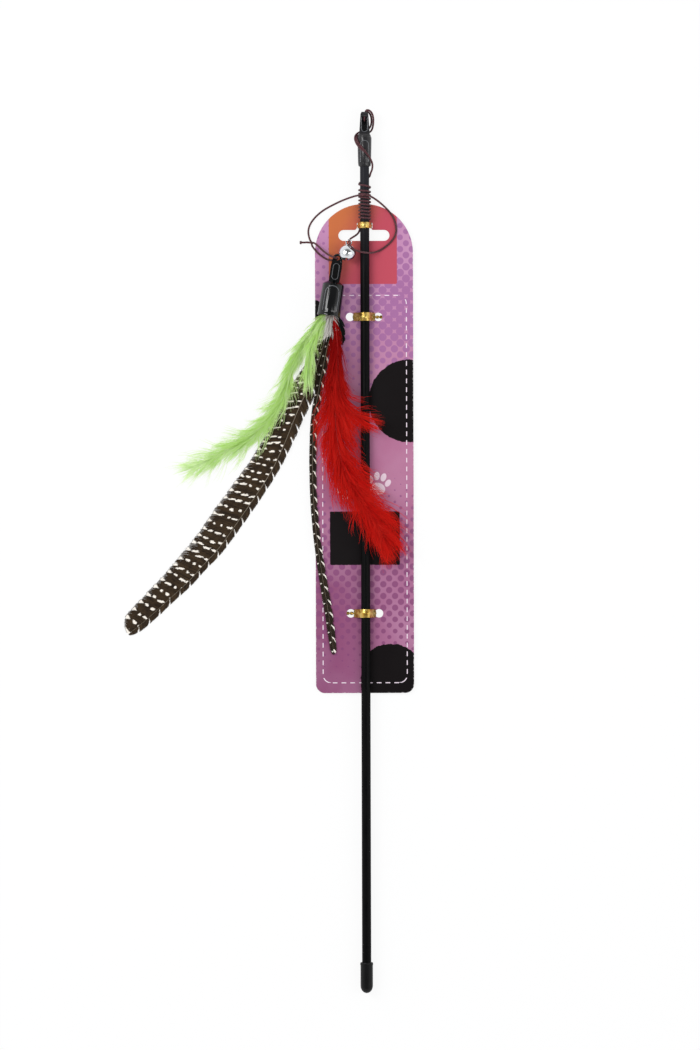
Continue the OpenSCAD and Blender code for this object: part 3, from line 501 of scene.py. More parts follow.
def cardMaterial(art):
    shade = Shade("cardPrint", Roughness=0.45, Specular_IOR_Level=0.15)
    place = shade.place()
    x, y, z = shade.split(place)
    xm, ym = x * 1000.0, y * 1000.0
    paper = shade.noise(place, 900.0, 4.0)
    broad = shade.noise(place, 26.0, 3.0)

    def hypotenuse(a, b):
        return shade.math("SQRT", a * a + b * b)

    # signed distance to a rounded rectangle
    def roundedBox(cx, cy, halfX, halfY, radius):
        dx, dy = abs(xm - cx) - (halfX - radius), abs(ym - cy) - (halfY - radius)
        return hypotenuse(dx.most(0.0), dy.most(0.0)) + dx.most(dy).least(0.0) - radius

    # below one inside a turned ellipse
    def pad(cx, cy, halfX, halfY, turn):
        c, s = turned(turn)
        dx, dy = xm - cx, ym - cy
        return hypotenuse(dx * (c / halfX) + dy * (s / halfX), dy * (c / halfY) - dx * (s / halfY))

    # violet ground, rosier and darker downwards and to the left, with a halftone of darker dots
    upper = shade.mix(shade.step(ym, *art["upperRise"]), *art["upper"])
    lower = shade.mix(shade.step(xm, *art["lowerAcross"]), *art["lower"])
    ground = shade.mix(shade.step(ym, *art["join"]), lower, upper)
    ground = shade.mix(shade.step(broad, 0.35, 0.7, 0.0, 0.12), ground, art["haze"])
    diagonal = 0.7071 / art["dotPitch"]
    reach = hypotenuse(((xm + ym) * diagonal).part() - 0.5, ((xm - ym) * diagonal).part() - 0.5)
    highShare, lowShare = [shade.step(ym, *rise) * shade.step(ym, *fall)
                           for rise, fall in (art["highDots"], art["lowDots"])]
    highShare = highShare * shade.step(xm, *art["highAcross"])
    size = highShare.most(lowShare) * art["dotGrowth"] + art["dotLeast"]
    dots = shade.step(reach - size, -0.03, 0.03, art["dotStrength"], 0.0)
    colour = shade.mix(dots, ground, shade.mix(shade.step(ym, *art["spotRise"]), *art["spots"]))
    # header panel, orange at the upper left to red at the lower right
    heat = shade.mix(shade.step(xm - (ym - art["heatMiddle"]) * 0.5, -20.0, 10.0), *art["heat"])
    colour = shade.mix(shade.step(roundedBox(*art["panel"]), -0.1, 0.1, 1.0, 0.0), colour, heat)
    # plain dark label and rough dark rounds that run off the card's edges
    rough = (shade.noise(place, 420.0, 3.0) - 0.5) * 2.0
    darkShape = roundedBox(*art["label"]) + rough * 0.35
    for box in art["rounds"]:
        darkShape = darkShape.least(roundedBox(*box) + rough)
    colour = shade.mix(shade.step(darkShape, -0.15, 0.15, 1.0, 0.0), colour, art["ink"])
    # dashed stitch border, its dashes counted along x at the ends and along y at the sides
    half, soft = art["stitchHalf"], art["stitchSoft"]
    line = shade.step(abs(roundedBox(*art["border"])), half - soft, half + soft, 1.0, 0.0)
    dashes = [shade.step(abs((value / art["dashPitch"]).part() - 0.5), 0.25, 0.28, 1.0, 0.0)
              for value in (xm, ym)]
    onSide = shade.step(abs(xm - art["border"][0]), art["sideFrom"], art["sideFrom"] + 0.2)
    colour = shade.mix(line * shade.mix(onSide, *dashes), colour, art["stitch"])
    # two pale paw prints, one pad and four toes each
    paws = None
    for cx, cy, scale, turn in art["paws"]:
        c, s = turned(turn)
        for px, py, hx, hy, lean in art["pads"]:
            ellipse = pad(cx + scale * (px * c - py * s), cy + scale * (px * s + py * c), hx * scale, hy * scale,
                          turn + lean)
            paws = paws.least(ellipse) if paws else ellipse
    colour = shade.mix(shade.step(paws, 0.94, 1.06, 0.9, 0.0), colour, art["paw"])
    # white paper core at the edges and the back, slightly scuffed ink along the rim
    face = shade.step(z, *art["face"])
    colour = shade.mix(face, shade.mix(paper, *art["paper"]), colour)
    rim = abs(roundedBox(*art["edge"]))
    scuff = shade.step(rim, 0.1, 0.7, 1.0, 0.0) * shade.step(paper, 0.5, 0.66)
    colour = shade.mix(scuff * 0.55, colour, art["scuff"])
    gloss = shade.step(face, 0.2, 0.8, 0.8, 0.36) + shade.step(broad, 0.4, 0.8, 0.0, 0.1)
    return shade.wear(Base_Color=colour, Roughness=gloss, Normal=shade.bump(paper, 0.00003, 0.4))


finish("backing_card", cardMaterial(cardPrint))
print("stage: card")


foil = {"colours": ("b98c34", "ecd078"), "creases": 360.0, "crumple": 420.0, "roughness": (0.2, 0.42),
        "bevel": 0.00008}


def foilMaterial():
    shade = Shade("goldFoil", Metallic=0.8)
    place = shade.place()
    creases = shade.put("ShaderNodeTexVoronoi", feature="DISTANCE_TO_EDGE", Scale=foil["creases"],
                        Vector=shade.stretched(place, (1.0, 1.7, 1.0)))
    crumple = shade.noise(place, foil["crumple"], 2.0, 0.5)
    folds = shade.bump(creases.outputs["Distance"], 0.0003, 0.35)
    return shade.wear(Base_Color=shade.mix(shade.step(crumple, 0.3, 0.7), *foil["colours"]),
                      Roughness=shade.step(crumple, 0.3, 0.8, *foil["roughness"]),
                      Normal=shade.bump(crumple, 0.0002, 0.4, folds))


foilLook = foilMaterial()
for node in ("twist_tie_top", "twist_tie_middle", "twist_tie_bottom"):
    dressed(node, foilLook, foil["bevel"])
print("stage: ties")


def chromeMaterial(name, colour, roughness):
    shade = Shade(name, Metallic=1.0, Roughness=roughness)
    place = shade.place()
    smear = shade.noise(place, 220.0, 3.0)
    return shade.wear(Base_Color=shade.mix(smear, *colour),
                      Roughness=shade.step(smear, 0.3, 0.8, roughness, roughness + 0.12),
                      Normal=shade.bump(shade.noise(place, 2400.0, 2.0), 0.00001, 0.3))


bellLook = chromeMaterial("bellChrome", ("d6dadf", "eceef1"), roughness=0.07)
finish("bell_pellet", chromeMaterial("pelletSteel", ("8c9096", "a5a9af"), roughness=0.3))
for node in ("bell_upper_shell", "bell_lower_shell"):
    dressed(node, bellLook, bevel=0.00012)
finish("bell_loop", bellLook)
print("stage: bell")

lureLook = mouldedPlastic("lureGloss", ("08090a", "0d0e0f"), roughness=0.1, scratch=0.05, grain=0.00001, shine=0.45)
dressed("lure_cap", lureLook, bevel=0.0003, segments=3)
lureRims = {
    "eye": (-16.6, 444.8, 1.7), "turn": -9.0, "tilt": -4.0, "windowHalf": 1.85, "windowFrom": 3.4, "windowTo": 13.4,
    "panelHalf": 4.2, "panelFrom": 17.8, "panelTo": 33.4, "panelBead": 0.26, "bodyFrom": (16.4, 36.1),
    "bodyRadius": (6.6, 7.2), "proud": 0.28, "neckFrom": (0.0, 5.0, 13.6, 16.4), "neckFront": (1.0, 1.8, 2.5, 2.5)}


# from the lure cap's own frame, which starts at its eye, to the wand's
def inLure(point):
    x, y, z = point
    c, s = turned(lureRims["tilt"])
    y, z = y * c - z * s, y * s + z * c
    c, s = turned(lureRims["turn"])
    x, y = x * c - y * s, x * s + y * c
    return tuple(np.array((x, y, z)) + np.array(lureRims["eye"]))


def neckFront(x, y):
    return float(np.interp(-y, lureRims["neckFrom"], lureRims["neckFront"]))


def bodyFront(x, y):
    radius = float(np.interp(-y, lureRims["bodyFrom"], lureRims["bodyRadius"]))
    return math.sqrt((radius + lureRims["proud"]) ** 2 - x * x)


rimPiece("lureWindowRim", archOf(lureRims["windowHalf"], -lureRims["windowTo"] + lureRims["windowHalf"],
                                 -lureRims["windowFrom"], neckFront, True), inLure, "lure")
rimPiece("lurePanelRim", archOf(lureRims["panelHalf"], -lureRims["panelTo"], -lureRims["panelFrom"], bodyFront),
         inLure, "lure", lureRims["panelBead"])


def glueMaterial():
    shade = Shade("hotGlue", Roughness=0.3, Subsurface_Weight=0.4)
    cloud = shade.noise(shade.place(), 500.0)
    return shade.wear(Base_Color=shade.mix(cloud, "b9a878", "d8cca4"), Normal=shade.bump(cloud, 0.0004, 0.7))


finish("glue_plug", glueMaterial())
print("stage: lure cap")


# lookups along a feather's shaft in millimetres, carried on straight for reach past its tip
def spineOf(route, step, reach):
    spine, at = resample(cutCorners(route, 2), step)
    ahead = directions(spine)[-1]
    extra = np.arange(step, reach + step, step)
    spine = np.vstack([spine, spine[-1] + extra[:, None] * ahead])
    total = at[-1]
    at = np.concatenate([at, total + extra])
    along = directions(spine)
    side = np.cross(along, (0, 0, 1.0))
    side /= np.linalg.norm(side, axis=1)[:, None]
    tables = {"spine": spine, "along": along, "side": side, "up": np.cross(side, along)}

    def read(table, station):
        return np.array([np.interp(station, at, tables[table][:, k]) for k in range(3)])

    return {"total": total, "at": at, "read": read, **tables}


# the tapering quill along a feather, ending short of its tip
def shaftPiece(name, look, way, radius, rise, short):
    keep = way["at"] <= way["total"] - short
    path = (way["spine"] + way["up"] * rise)[keep][::2] * mm
    share = way["at"][keep][::2] / way["total"]
    return tubePiece(name, look, path, (radius * (1 - 0.85 * share) + 0.03) * mm, 8, (1, 0, 0))


# one thin strip along points, with its half widths and its places on the map
def ribbon(vertices, faces, uv, points, sides, widths, marks):
    first = len(vertices)
    for k, (point, flat, half) in enumerate(zip(points, sides, widths)):
        vertices += [(point - flat * half) * mm, (point + flat * half) * mm]
        uv += [marks[k], marks[k]]
        if k:
            a = first + 2 * k - 2
            faces.append((a, a + 1, a + 3, a + 2))


# the barbs stand for the CAD's feather, and the shaft rides with them
def attach(barbs, shaft, body, node):
    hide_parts(node)
    for piece in (barbs, shaft):
        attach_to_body(piece, body)


# how far out a barb that leans forward reaches before it meets the vane's outline
def barbWidth(station, lean, stations, widths, rounding):
    low, high = 0.0, 30.0
    for _ in range(14):
        middle = (low + high) / 2
        end = station + lean * middle
        past = min(1.0, max(0.0, (end - stations[-1]) / rounding + 1.0))
        if float(np.interp(end, stations, widths)) * math.sqrt(1.0 - past * past) > middle:
            low = middle
        else:
            high = middle
    return low


# both vanes as rows of curved barbs, each a thin ribbon, and the tapering shaft between them;
# the map runs along the shaft, and in from the vane's edge, negative on the right vane
def vaneFeather(name, look, quillLook, feather, body, node):
    draw = random.Random(feather["seed"])
    way = spineOf(feather["route"], 0.5, 8.0)
    total, read = way["total"], way["read"]
    vertices, faces, uv = [], [], []
    shares = [k / feather["steps"] for k in range(feather["steps"] + 1)]
    for hand, widths, lean in ((1, feather["left"], feather["leanLeft"]),
                               (-1, feather["right"], feather["leanRight"])):
        stations = np.linspace(0, total, len(widths))
        station, slip, slipLeft = feather["bare"], 0.0, 0
        while station < total - 0.5:
            if slipLeft <= 0:
                slip, slipLeft = draw.uniform(-1, 1) * feather["slip"], draw.randint(*feather["slipRun"])
            slipLeft -= 1
            width = barbWidth(station, lean, stations, widths, feather["round"])
            if hand < 0:
                off = ((station / feather["lobe"]) % 1.0 - 0.5) * feather["lobe"]
                width *= 1.0 - feather["lobeDepth"] * math.exp(-(off / feather["lobeGap"]) ** 2)
            width = width * draw.uniform(*feather["vary"]) + slip * min(1.0, width / feather["slipFull"])
            forward = max(width, feather["least"]) * lean
            rise = draw.uniform(-1, 1) * feather["rise"]
            points, flats, halves, marks = [], [], [], []
            for t in shares:
                here = station + forward * t ** feather["bend"]
                out = width * t
                arch = feather["arch"] * width * math.sin(feather["curl"] * t)
                points.append(read("spine", here) + read("side", here) * hand * (out + feather["gap"])
                              + read("up", here) * (rise + arch))
                flats.append(read("along", here))
                halves.append(feather["barb"] * (1 - feather["taper"] * t ** 3))
                mark = here - feather["rowLean"] * out if hand > 0 else station
                marks.append((mark * mm, hand * (width - out + 0.1) * mm))
            ribbon(vertices, faces, uv, points, flats, halves, marks)
            station += feather["spacing"]
    barbs = addObject(name + "Barbs", vertices, faces, look, uv)
    attach(barbs, shaftPiece(name + "Shaft", quillLook, way, feather["quill"], 0.12, 2.0), body, node)


# dark vane with rows of pale dashes that start from the left edge, and pale bars on the right
def guineaMaterial(name, spots):
    shade = Shade(name, Roughness=0.6, Specular_IOR_Level=0.12)
    uvPlace = shade.place("UV")
    u, v, _ = shade.split(uvPlace)
    vn = v * 1000.0
    inward = abs(vn) - 0.1
    streak, blotch = [shade.noise(shade.stretched(uvPlace, grain), 1.0, 2.0)
                      for grain in ((2400.0, 60.0, 1.0), (260.0, 200.0, 1.0))]
    ripple = shade.noise(shade.stretched(uvPlace, (330.0, 330.0, 1.0)), 1.0, 1.0) - 0.5
    un = u * 1000.0 + ripple * spots["warp"]
    ground = shade.mix(shade.step(streak * 0.6 + blotch * 0.4, 0.35, 0.65), spots["dark"], spots["mid"])
    left = shade.step(vn, -0.05, 0.05)

    def within(cells, pitch):
        return (cells.part() - 0.5) * pitch

    def chance(first, second):
        cell = shade.put("ShaderNodeCombineXYZ", X=first, Y=second, Z=0.5)
        return shade.split(shade.put("ShaderNodeTexWhiteNoise", Vector=cell.outputs[0]).outputs["Color"])

    # a pale mark that is half wide at the vane's edge and closes depth further in
    def wedge(across, half, depth):
        return shade.step(abs(across) - (1.0 - inward / depth) * half, -0.15, 0.15, 1.0, 0.0)

    # rows stand further apart towards the tip
    rows = un.most(1.0) ** spots["rowPower"] * spots["rowRate"]
    row, across = rows.whole(), within(rows, spots["row"])
    edgeMark = wedge(across + (chance(row, 7.5)[0] - 0.5) * 0.9, spots["edgeHalf"], spots["edgeDepth"])
    columns = (inward - (spots["edgeDepth"] - 0.3)) / spots["column"]
    shiftU, shiftV, own = chance(row, columns.whole())
    dv = within(columns, spots["column"]) + (shiftV - 0.5) * 1.2
    du = across + (shiftU - 0.5) * 1.5 + (own - 0.5) * 0.7 * dv
    halfV = shade.step(own, 0.0, 1.0, spots["short"], spots["long"])
    reach = abs(du / spots["thick"]) ** 2.4 + abs(dv / halfV) ** 2.4
    dashes = shade.step(reach, 0.7, 1.3, 1.0, 0.0) * shade.step(columns, -0.05, 0.05)
    bars = wedge(within(un / spots["bar"], spots["bar"]), spots["barHalf"], spots["barDepth"])
    marks = (edgeMark * shade.step(inward, 0.2, 0.45)).most(dashes) * left
    pale = marks.most(bars * (1.0 - left)) * shade.step(streak, 0.2, 0.45, 0.8, 1.0)
    return shade.wear(Base_Color=shade.mix(pale, ground, "f2ebe0"))


def quillMaterial(name, low, high):
    shade = Shade(name, Roughness=0.4, Specular_IOR_Level=0.3)
    place = shade.place()
    fine = shade.noise(shade.stretched(place, (1600.0, 200.0, 1600.0)), 1.0, 2.0)
    return shade.wear(Base_Color=shade.mix(shade.noise(place, 260.0), low, high),
                      Normal=shade.bump(fine, 0.00003, 0.5))


# marks in millimetres; a row, column or bar of 900 is one that never comes
bareVane = {"row": 900.0, "rowPower": 1.0, "rowRate": 0.001, "column": 900.0, "warp": 0.4, "thick": 0.01,
            "short": 0.01, "long": 0.02, "edgeHalf": 0.01, "edgeDepth": 0.5, "bar": 900.0, "barHalf": 0.01,
            "barDepth": 0.5}
guineaLook = guineaMaterial("guineaVane", {
    "dark": "22180f", "mid": "40311f", "row": 5.0, "rowPower": 0.68, "rowRate": 1.2245, "column": 4.5,
    "warp": 1.4, "thick": 0.6, "short": 0.7, "long": 2.2, "edgeHalf": 1.25, "edgeDepth": 3.0, "bar": 8.4,
    "barHalf": 0.6, "barDepth": 1.3})
narrowLook = guineaMaterial("guineaNarrowVane", {
    **bareVane, "dark": "17110b", "mid": "33281b", "row": 6.1, "rowRate": 0.164, "edgeHalf": 0.6,
    "edgeDepth": 1.5, "bar": 7.9, "barHalf": 1.1, "barDepth": 2.1})
quillLook = quillMaterial("guineaQuill", "40362a", "8f8270")
# lengths in millimetres; left and right are the vanes' widths along the shaft
vaned = {"spacing": 0.42, "bare": 3.0, "rowLean": 0.2, "lobeDepth": 0.3, "arch": 0.03, "curl": 2.6, "bend": 1.35,
         "taper": 0.45, "gap": 0.08, "least": 0.3, "rise": 0.05, "vary": (0.97, 1.02), "slipRun": (5, 18),
         "slipFull": 6.0}
guineaLong = {
    **vaned, "seed": 11, "steps": 8, "barb": 0.3, "quill": 0.34, "leanLeft": 0.5, "leanRight": 0.9, "rowLean": 0.3,
    "slip": 0.25, "lobe": 8.4, "lobeDepth": 0.45, "lobeGap": 0.55, "round": 9.0,
    "route": [
        (-21.4, 412.6, -0.6), (-21.6, 406, -1), (-23.4, 399, -1.6), (-26.4, 388.6, -2.5), (-29.6, 378, -3),
        (-34.4, 367, -3), (-39, 357, -3.3), (-43.8, 346, -4.1), (-49.8, 330.6, -5.4), (-58.8, 312, -6.2),
        (-74, 290, -6.4), (-90, 267, -6.4), (-99.4, 257.6, -6.4), (-109, 246.6, -6.4), (-120, 237, -6.4),
        (-132, 226, -6.4), (-141, 218.6, -6.4), (-146, 214.8, -6.4)],
    "left": [1.2, 2.6, 5.4, 8.4, 10.6, 11.8, 12.8, 14, 15, 15.6, 16, 16, 15.4, 14.6, 13.6, 12.2, 11, 9.6],
    "right": [1, 2.2, 4, 5.4, 5.8, 5.2, 4.6, 4, 3.7, 3.6, 3.5, 3.4, 3.2, 3, 3, 3.2, 3.4, 3.2]}
guineaNarrow = {
    **vaned, "seed": 23, "steps": 6, "barb": 0.28, "quill": 0.2, "leanLeft": 1.5, "leanRight": 1.3, "slip": 0.15,
    "lobe": 10.3, "lobeGap": 0.9, "round": 5.0,
    "route": [
        (-19, 412.2, 0.4), (-19.6, 405, 0.2), (-21.6, 397, -0.3), (-24.4, 385, -1.2), (-28.6, 364, -1.9),
        (-31, 350, -2.5), (-32.2, 335, -3), (-32.4, 314, -3.05), (-31.7, 292.6, -3.05), (-29.8, 272, -3.05),
        (-26.6, 250, -3.05), (-22.8, 228, -3.05), (-20.4, 209, -3.05), (-19.6, 202, -3.05)],
    "left": [0.9, 1.6, 2, 2.1, 2.1, 2, 2, 2, 2, 2.1, 2.2, 2.3, 2.2, 1.8],
    "right": [0.9, 1.8, 2.4, 2.5, 2.4, 2.3, 2.2, 2.2, 2.2, 2.3, 2.4, 2.5, 2.4, 2]}
vaneFeather("guineaLong", guineaLook, quillLook, guineaLong, "guinea", "guinea_feather_long")
vaneFeather("guineaNarrow", narrowLook, quillLook, guineaNarrow, "guinea", "guinea_feather_narrow")
darkLook = guineaMaterial("darkVane", {**bareVane, "dark": "050706", "mid": "101815"})
darkQuill = quillMaterial("darkQuill", "17130f", "2a241c")
darkFeather = {
    **vaned, "seed": 31, "steps": 5, "spacing": 0.3, "barb": 0.24, "quill": 0.25, "bare": 2.0, "leanLeft": 1.4,
    "leanRight": 1.2, "slip": 0.7, "arch": 0.05, "lobe": 5.5, "lobeGap": 0.8, "round": 3.0,
    "route": [
        (-18.3, 412.2, 1.6), (-17.4, 408.8, 1.5), (-15.6, 404.6, 0.9), (-14.4, 399, -0.2), (-14.0, 391.6, -1)],
    "left": [0.8, 1.6, 2.5, 2.3, 0.9], "right": [1.4, 2.6, 3.0, 2.5, 0.9]}
vaneFeather("darkFeather", darkLook, darkQuill, darkFeather, "lure", "dark_feather")
print("stage: vaned feathers")


# whether a place, in millimetres, is over the card
def overCard(x, y):
    half = card["width"] / 2
    upRound = max(0.0, y - (card["top"] - half))
    return y > card["low"] and math.hypot(x - card["middle"], upRound) < half


rest = {"edge": 1.2, "besideRod": 0.4, "overRod": 0.5, "overCard": 0.3, "overTable": 0.35}


# how low a wisp may hang, in millimetres, at a place seen from above
def restHeight(x, y):
    if abs(x) < rod["radius"] + rest["besideRod"]:
        return rod["radius"] + rest["overRod"]
    if any(overCard(x + dx, y) for dx in (-rest["edge"], 0, rest["edge"])):
        return card["face"] + rest["overCard"]
    return tableTop / mm + rest["overTable"]


# down coloured from the shaft outwards, each barb with its own shade, dimmer towards the cap
def plumeMaterial(name, low, mid, high, dim, dimFrom, dimTo, translucent=0.4):
    shade = Shade(name, Roughness=0.75, Specular_IOR_Level=0.06)
    u, v, _ = shade.split(shade.place("UV"))
    place = shade.place()
    body = shade.mix(shade.step(v, 0.0, 0.6), low, mid)
    soft = shade.step(shade.noise(place, 130.0, 1.0), 0.3, 0.7, 0.5, 1.0)
    colour = shade.mix(u ** 1.6 * soft, body, high)
    colour = shade.mix(shade.step(v, 0.6, 1.0, 0.0, 0.45), colour, high)
    colour = shade.mix(shade.step(shade.split(place)[1], dimFrom * mm, dimTo * mm, 0.0, 0.8), colour, dim)
    shade.cover(translucent, shade.put("ShaderNodeBsdfTranslucent", Color=colour))
    return shade.wear(Base_Color=colour)


# a shaft with tufts of fine barbs that leave it at a slant and stream on beside it
def plumePiece(name, look, quill, plume, body, node):
    draw = random.Random(plume["seed"])
    way = spineOf(plume["route"], 0.5, plume["flow"] * 1.6)
    total, read = way["total"], way["read"]
    halfAt = np.linspace(0, total, len(plume["half"]))
    vertices, faces, uv = [], [], []
    shares = [k / plume["steps"] for k in range(plume["steps"] + 1)]
    for i in range(plume["tufts"]):
        share = (i + draw.random()) / plume["tufts"]
        root = plume["bare"] + share * (total * plume["last"] - plume["bare"])
        wisp = draw.random() < plume["wisps"]
        flow = plume["flow"] * draw.uniform(*plume["flows"]) * (0.7 + 0.3 * min(1.0, root / 15))
        flow = max(plume["leastFlow"], min(flow, total - root + plume["tip"] * draw.uniform(*plume["tips"])))
        full = float(np.interp(root + flow * 0.6, halfAt, plume["half"]))
        lateral = full * (draw.uniform(1.0, plume["wispReach"]) if wisp else 0.05 + 0.95 * draw.random() ** 0.8)
        hand = 1 if draw.random() < plume["leftShare"] else -1
        tilt = draw.gauss(0, plume["spread"])
        bow = draw.uniform(*plume["wispBows" if wisp else "bows"])
        wave, phase = draw.uniform(*plume["waves"]) * flow, draw.uniform(0, 6.28)
        turns = draw.uniform(*plume["turns"])
        thinning = max(0.0, share - 0.7) / 0.3 * plume["thinning"]
        tuftShade = min(1.0, draw.uniform(*plume["shades"]) + thinning * 0.7)
        for _ in range(int(plume["barbs"] * (0.5 if wisp else 1.0) * (1.0 - 0.6 * thinning))):
            station, length = root + draw.uniform(-1, 1), flow * draw.uniform(*plume["lengths"])
            far = lateral + draw.gauss(0, plume["stray"]) * min(1.0, full / 7.0)
            lift = draw.uniform(*plume["lift"])
            own = min(1.0, max(0.0, tuftShade + draw.gauss(0, plume["ownShade"])))
            lean = (draw.uniform(*plume["lean"]), draw.uniform(*plume["lean"]), 1.0)
            width, height = plume["barb"] * draw.uniform(*plume["widths"]), draw.random()
            points = []
            for t in shares:
                here = station + length * t
                out = far * (1 - (1 - t) ** bow) + wave * math.sin(phase + turns * 6.28 * t) * t
                rise = math.sin(tilt) * min(abs(out), plume["thick"]) + lift * t
                point = read("spine", here) + read("side", here) * hand * math.cos(tilt) * out
                point = point + read("up", here) * rise
                low = restHeight(point[0], point[1]) + 0.6 * height
                point[2] = min(max(point[2] - plume["droop"] * abs(out) * t, low), plume["ceiling"])
                points.append(point)
            course = directions(np.array(points))
            flats = np.cross(course, lean)
            flats /= np.maximum(np.linalg.norm(flats, axis=1), 1e-9)[:, None]
            halves = [width / 2 * (1 - 0.8 * t ** 2) for t in shares]
            ribbon(vertices, faces, uv, points, flats, halves, [(own, t) for t in shares])
    barbs = addObject(name + "Down", vertices, faces, look, uv)
    attach(barbs, shaftPiece(name + "Shaft", quill, way, plume["quill"], 0.0, 0.0), body, node)


limeLook = plumeMaterial("limeDown", "b8e06e", "c8ec88", "eaf9ce", "a6c474", 404.0, 413.0)
redLook = plumeMaterial("redDown", "b40b0a", "d2160f", "e63226", "8a0507", 340.0, 395.0)
fluffLook = plumeMaterial("greyDown", "b4aea6", "d2cec8", "f4f2ef", "b3a39a", 406.0, 413.0)
limeQuill = quillMaterial("limeQuill", "a8d060", "c2e286")
redQuill = quillMaterial("redQuill", "a00a0c", "c01512")
paleQuill = quillMaterial("paleQuill", "c8c0b4", "e6dfd4")
# lengths in millimetres along each plume's route; half is how far its down spreads from the shaft there,
# and pairs are what the random draws run between
downy = {"barbs": 10, "steps": 7, "bare": 0.5, "leftShare": 0.5, "thick": 1.5, "droop": 0.03, "quill": 0.25,
         "thinning": 0.3, "leastFlow": 4.0, "flows": (0.6, 1.25), "tips": (0.2, 1.0), "bows": (1.3, 2.4),
         "wispBows": (0.8, 1.5), "waves": (0.0, 0.08), "turns": (0.4, 1.1), "shades": (0.15, 0.7), "ownShade": 0.18,
         "lengths": (0.75, 1.08), "lift": (-0.5, 0.5), "lean": (-0.25, 0.25), "widths": (0.6, 1.2)}
limeLong = {
    **downy, "seed": 5, "tufts": 340, "last": 0.97, "flow": 18.0, "spread": 0.6, "wisps": 0.24,
    "wispReach": 2.1, "leftShare": 0.55, "thick": 2.0, "ceiling": 8.0, "droop": 0.1, "tip": 10.0, "stray": 1.1,
    "barb": 0.25, "thinning": 1.0,
    "route": [
        (-24.4, 412.9, 3), (-27.6, 406, 3), (-33.8, 397.6, 2.4), (-40.4, 388.4, 1.6), (-46.2, 375.4, 0.8),
        (-50, 361.2, -0.2), (-55.4, 350.8, -1), (-62.6, 341.8, -1.8), (-69.6, 335.8, -2.5), (-77, 331, -2.9),
        (-85, 326.8, -3), (-92.6, 323, -3.1), (-100, 319.6, -3.2), (-106, 317, -3.3), (-111, 315, -3.4)],
    "half": [2.2, 3, 3.6, 4, 4.2, 4.5, 5, 5.6, 6.2, 6.6, 7, 7.2, 7.2, 7, 6]}
limeShort = {
    **downy, "seed": 6, "tufts": 90, "bare": 0.3, "last": 0.8, "flow": 17.0, "spread": 0.7, "wisps": 0.2,
    "wispReach": 1.5, "leftShare": 0.55, "ceiling": 9.5, "droop": 0.05, "tip": 8.0, "stray": 0.9, "barb": 0.27,
    "route": [
        (-23.6, 413, 6), (-26, 405.6, 6.2), (-30, 398, 6.4), (-33.2, 389, 6), (-34.8, 379, 5.4),
        (-35.2, 369.6, 4.6), (-35.2, 363, 4)],
    "half": [2.4, 3.4, 4.2, 4.4, 4.2, 3.8, 3]}
redLong = {
    **downy, "seed": 7, "tufts": 440, "barbs": 11, "steps": 8, "last": 0.95, "flow": 24.0, "spread": 0.55,
    "wisps": 0.16, "wispReach": 1.5, "thick": 2.4, "ceiling": 10.5, "tip": 9.0, "stray": 1.6, "barb": 0.29,
    "quill": 0.35,
    "route": [
        (-19.2, 412.4, 3.6), (-18.4, 405, 4), (-18.6, 389, 3.7), (-18.6, 370.6, 3.4), (-18.6, 352, 3.8),
        (-17.4, 334, 4.8), (-14, 317.4, 5.5), (-7, 303, 5.9), (2, 290, 5.9), (9.4, 278.6, 5.9), (13.8, 270.4, 5.9),
        (16.6, 265.6, 5.9)],
    "half": [1.4, 2.2, 3.2, 5.6, 9.6, 12, 12, 12, 12.5, 12.5, 11, 8]}
redShort = {
    **downy, "seed": 8, "tufts": 110, "last": 0.85, "flow": 22.0, "spread": 0.6, "wisps": 0.3, "wispReach": 1.7,
    "ceiling": 10.8, "tip": 5.0, "stray": 1.4, "barb": 0.28, "quill": 0.3,
    "route": [
        (-19.8, 412.5, 7.1), (-18.2, 405, 7.5), (-16.6, 390, 7.6), (-16.4, 372, 7.4), (-14.4, 358.4, 7.2),
        (-7.4, 349.8, 7), (1, 345.2, 6.6), (8, 342.6, 6.4)],
    "half": [1, 1.8, 2.7, 4.2, 7, 7.5, 6, 3.5]}
baseFluff = {
    **downy, "seed": 9, "tufts": 60, "barbs": 9, "steps": 6, "bare": 0.2, "last": 0.8, "flow": 10.0,
    "spread": 0.9, "wisps": 0.3, "wispReach": 1.7, "leftShare": 0.55, "thick": 2.6, "ceiling": 11,
    "droop": 0.05, "tip": 5.0, "stray": 0.5, "barb": 0.26, "quill": 0.2,
    "route": [
        (-20.6, 412.7, 4.4), (-21, 408, 7.4), (-21.6, 403, 8.2), (-22.6, 397.6, 7.6)],
    "half": [3.2, 4.2, 4.2, 3]}
plumePiece("limeLong", limeLook, limeQuill, limeLong, "lime", "lime_plume_long")
plumePiece("limeShort", limeLook, limeQuill, limeShort, "lime", "lime_plume_short")
plumePiece("redLong", redLook, redQuill, redLong, "red", "red_plume_long")
plumePiece("redShort", redLook, redQuill, redShort, "red", "red_plume_short")
plumePiece("baseFluff", fluffLook, paleQuill, baseFluff, "lure", "base_fluff")
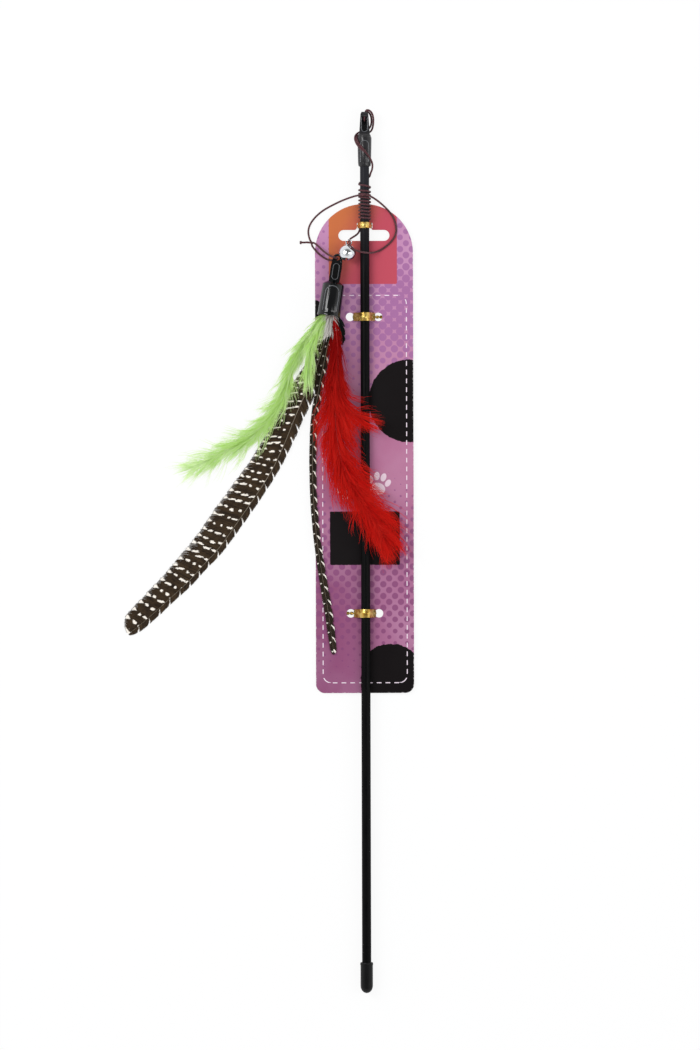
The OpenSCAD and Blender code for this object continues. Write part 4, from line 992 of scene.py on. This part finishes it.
print("stage: plumes")


studio = {
    "floorReach": 3.0, "floor": (0.93, 0.93, 0.93, 1.0), "floorSeen": 0.88, "aim": (0, 0.3, 0),
    "ambient": (0.7, 0.705, 0.72, 1.0), "seen": (1.0, 1.0, 1.0, 1.0), "ceiling": (0.45, 0.85, 0.95, 0.18),
    "lamps": {"key": {"size": (0.35, 0.9), "power": 9.5, "place": (-0.8, 0.7, 1.3)},
              "fill": {"size": (0.25, 1.2), "power": 4.0, "place": (0.9, 0.2, 1.2)}}}
far = studio["floorReach"]
floorMesh = bpy.data.meshes.new("floor")
floorMesh.from_pydata([(-far, -far, tableTop), (far, -far, tableTop), (far, far, tableTop), (-far, far, tableTop)],
                      [], [(0, 1, 2, 3)])
floor = placed("floor", floorMesh)
# the camera sees the floor as bright paper with faint shadows
floorShade = Shade("floorPaper", Roughness=0.9)
floorMesh.materials.append(floorShade.wear(Base_Color=studio["floor"]))
byCamera = Wire(floorShade, floorShade.put("ShaderNodeLightPath").outputs["Is Camera Ray"])
floorShade.cover(byCamera * studio["floorSeen"], floorShade.put("ShaderNodeEmission"))

for name, lamp in studio["lamps"].items():
    data = bpy.data.lights.new(name, "AREA")
    data.shape = "RECTANGLE"
    data.size, data.size_y = lamp["size"]
    data.energy = lamp["power"]
    item = placed(name, data)
    item.location = lamp["place"]
    item.rotation_euler = (Vector(studio["aim"]) - Vector(lamp["place"])).to_track_quat("-Z", "Y").to_euler()

# reflections see bright walls and a darker ceiling
sky = Shade("studio", bpy.data.worlds, "Background", Strength=1.0)
bpy.context.scene.world = sky.material
rays = sky.put("ShaderNodeLightPath").outputs
band = sky.step(sky.split(sky.place("Generated"))[2], *studio["ceiling"])
grey = sky.put("ShaderNodeCombineXYZ", X=band, Y=band, Z=band).outputs[0]
plain = sky.mix(rays["Is Camera Ray"], studio["ambient"], studio["seen"])
sky.wear(Color=sky.mix(rays["Is Glossy Ray"], plain, grey))
bpy.context.scene.view_settings.view_transform = "Standard"
print("stage: floor and light")
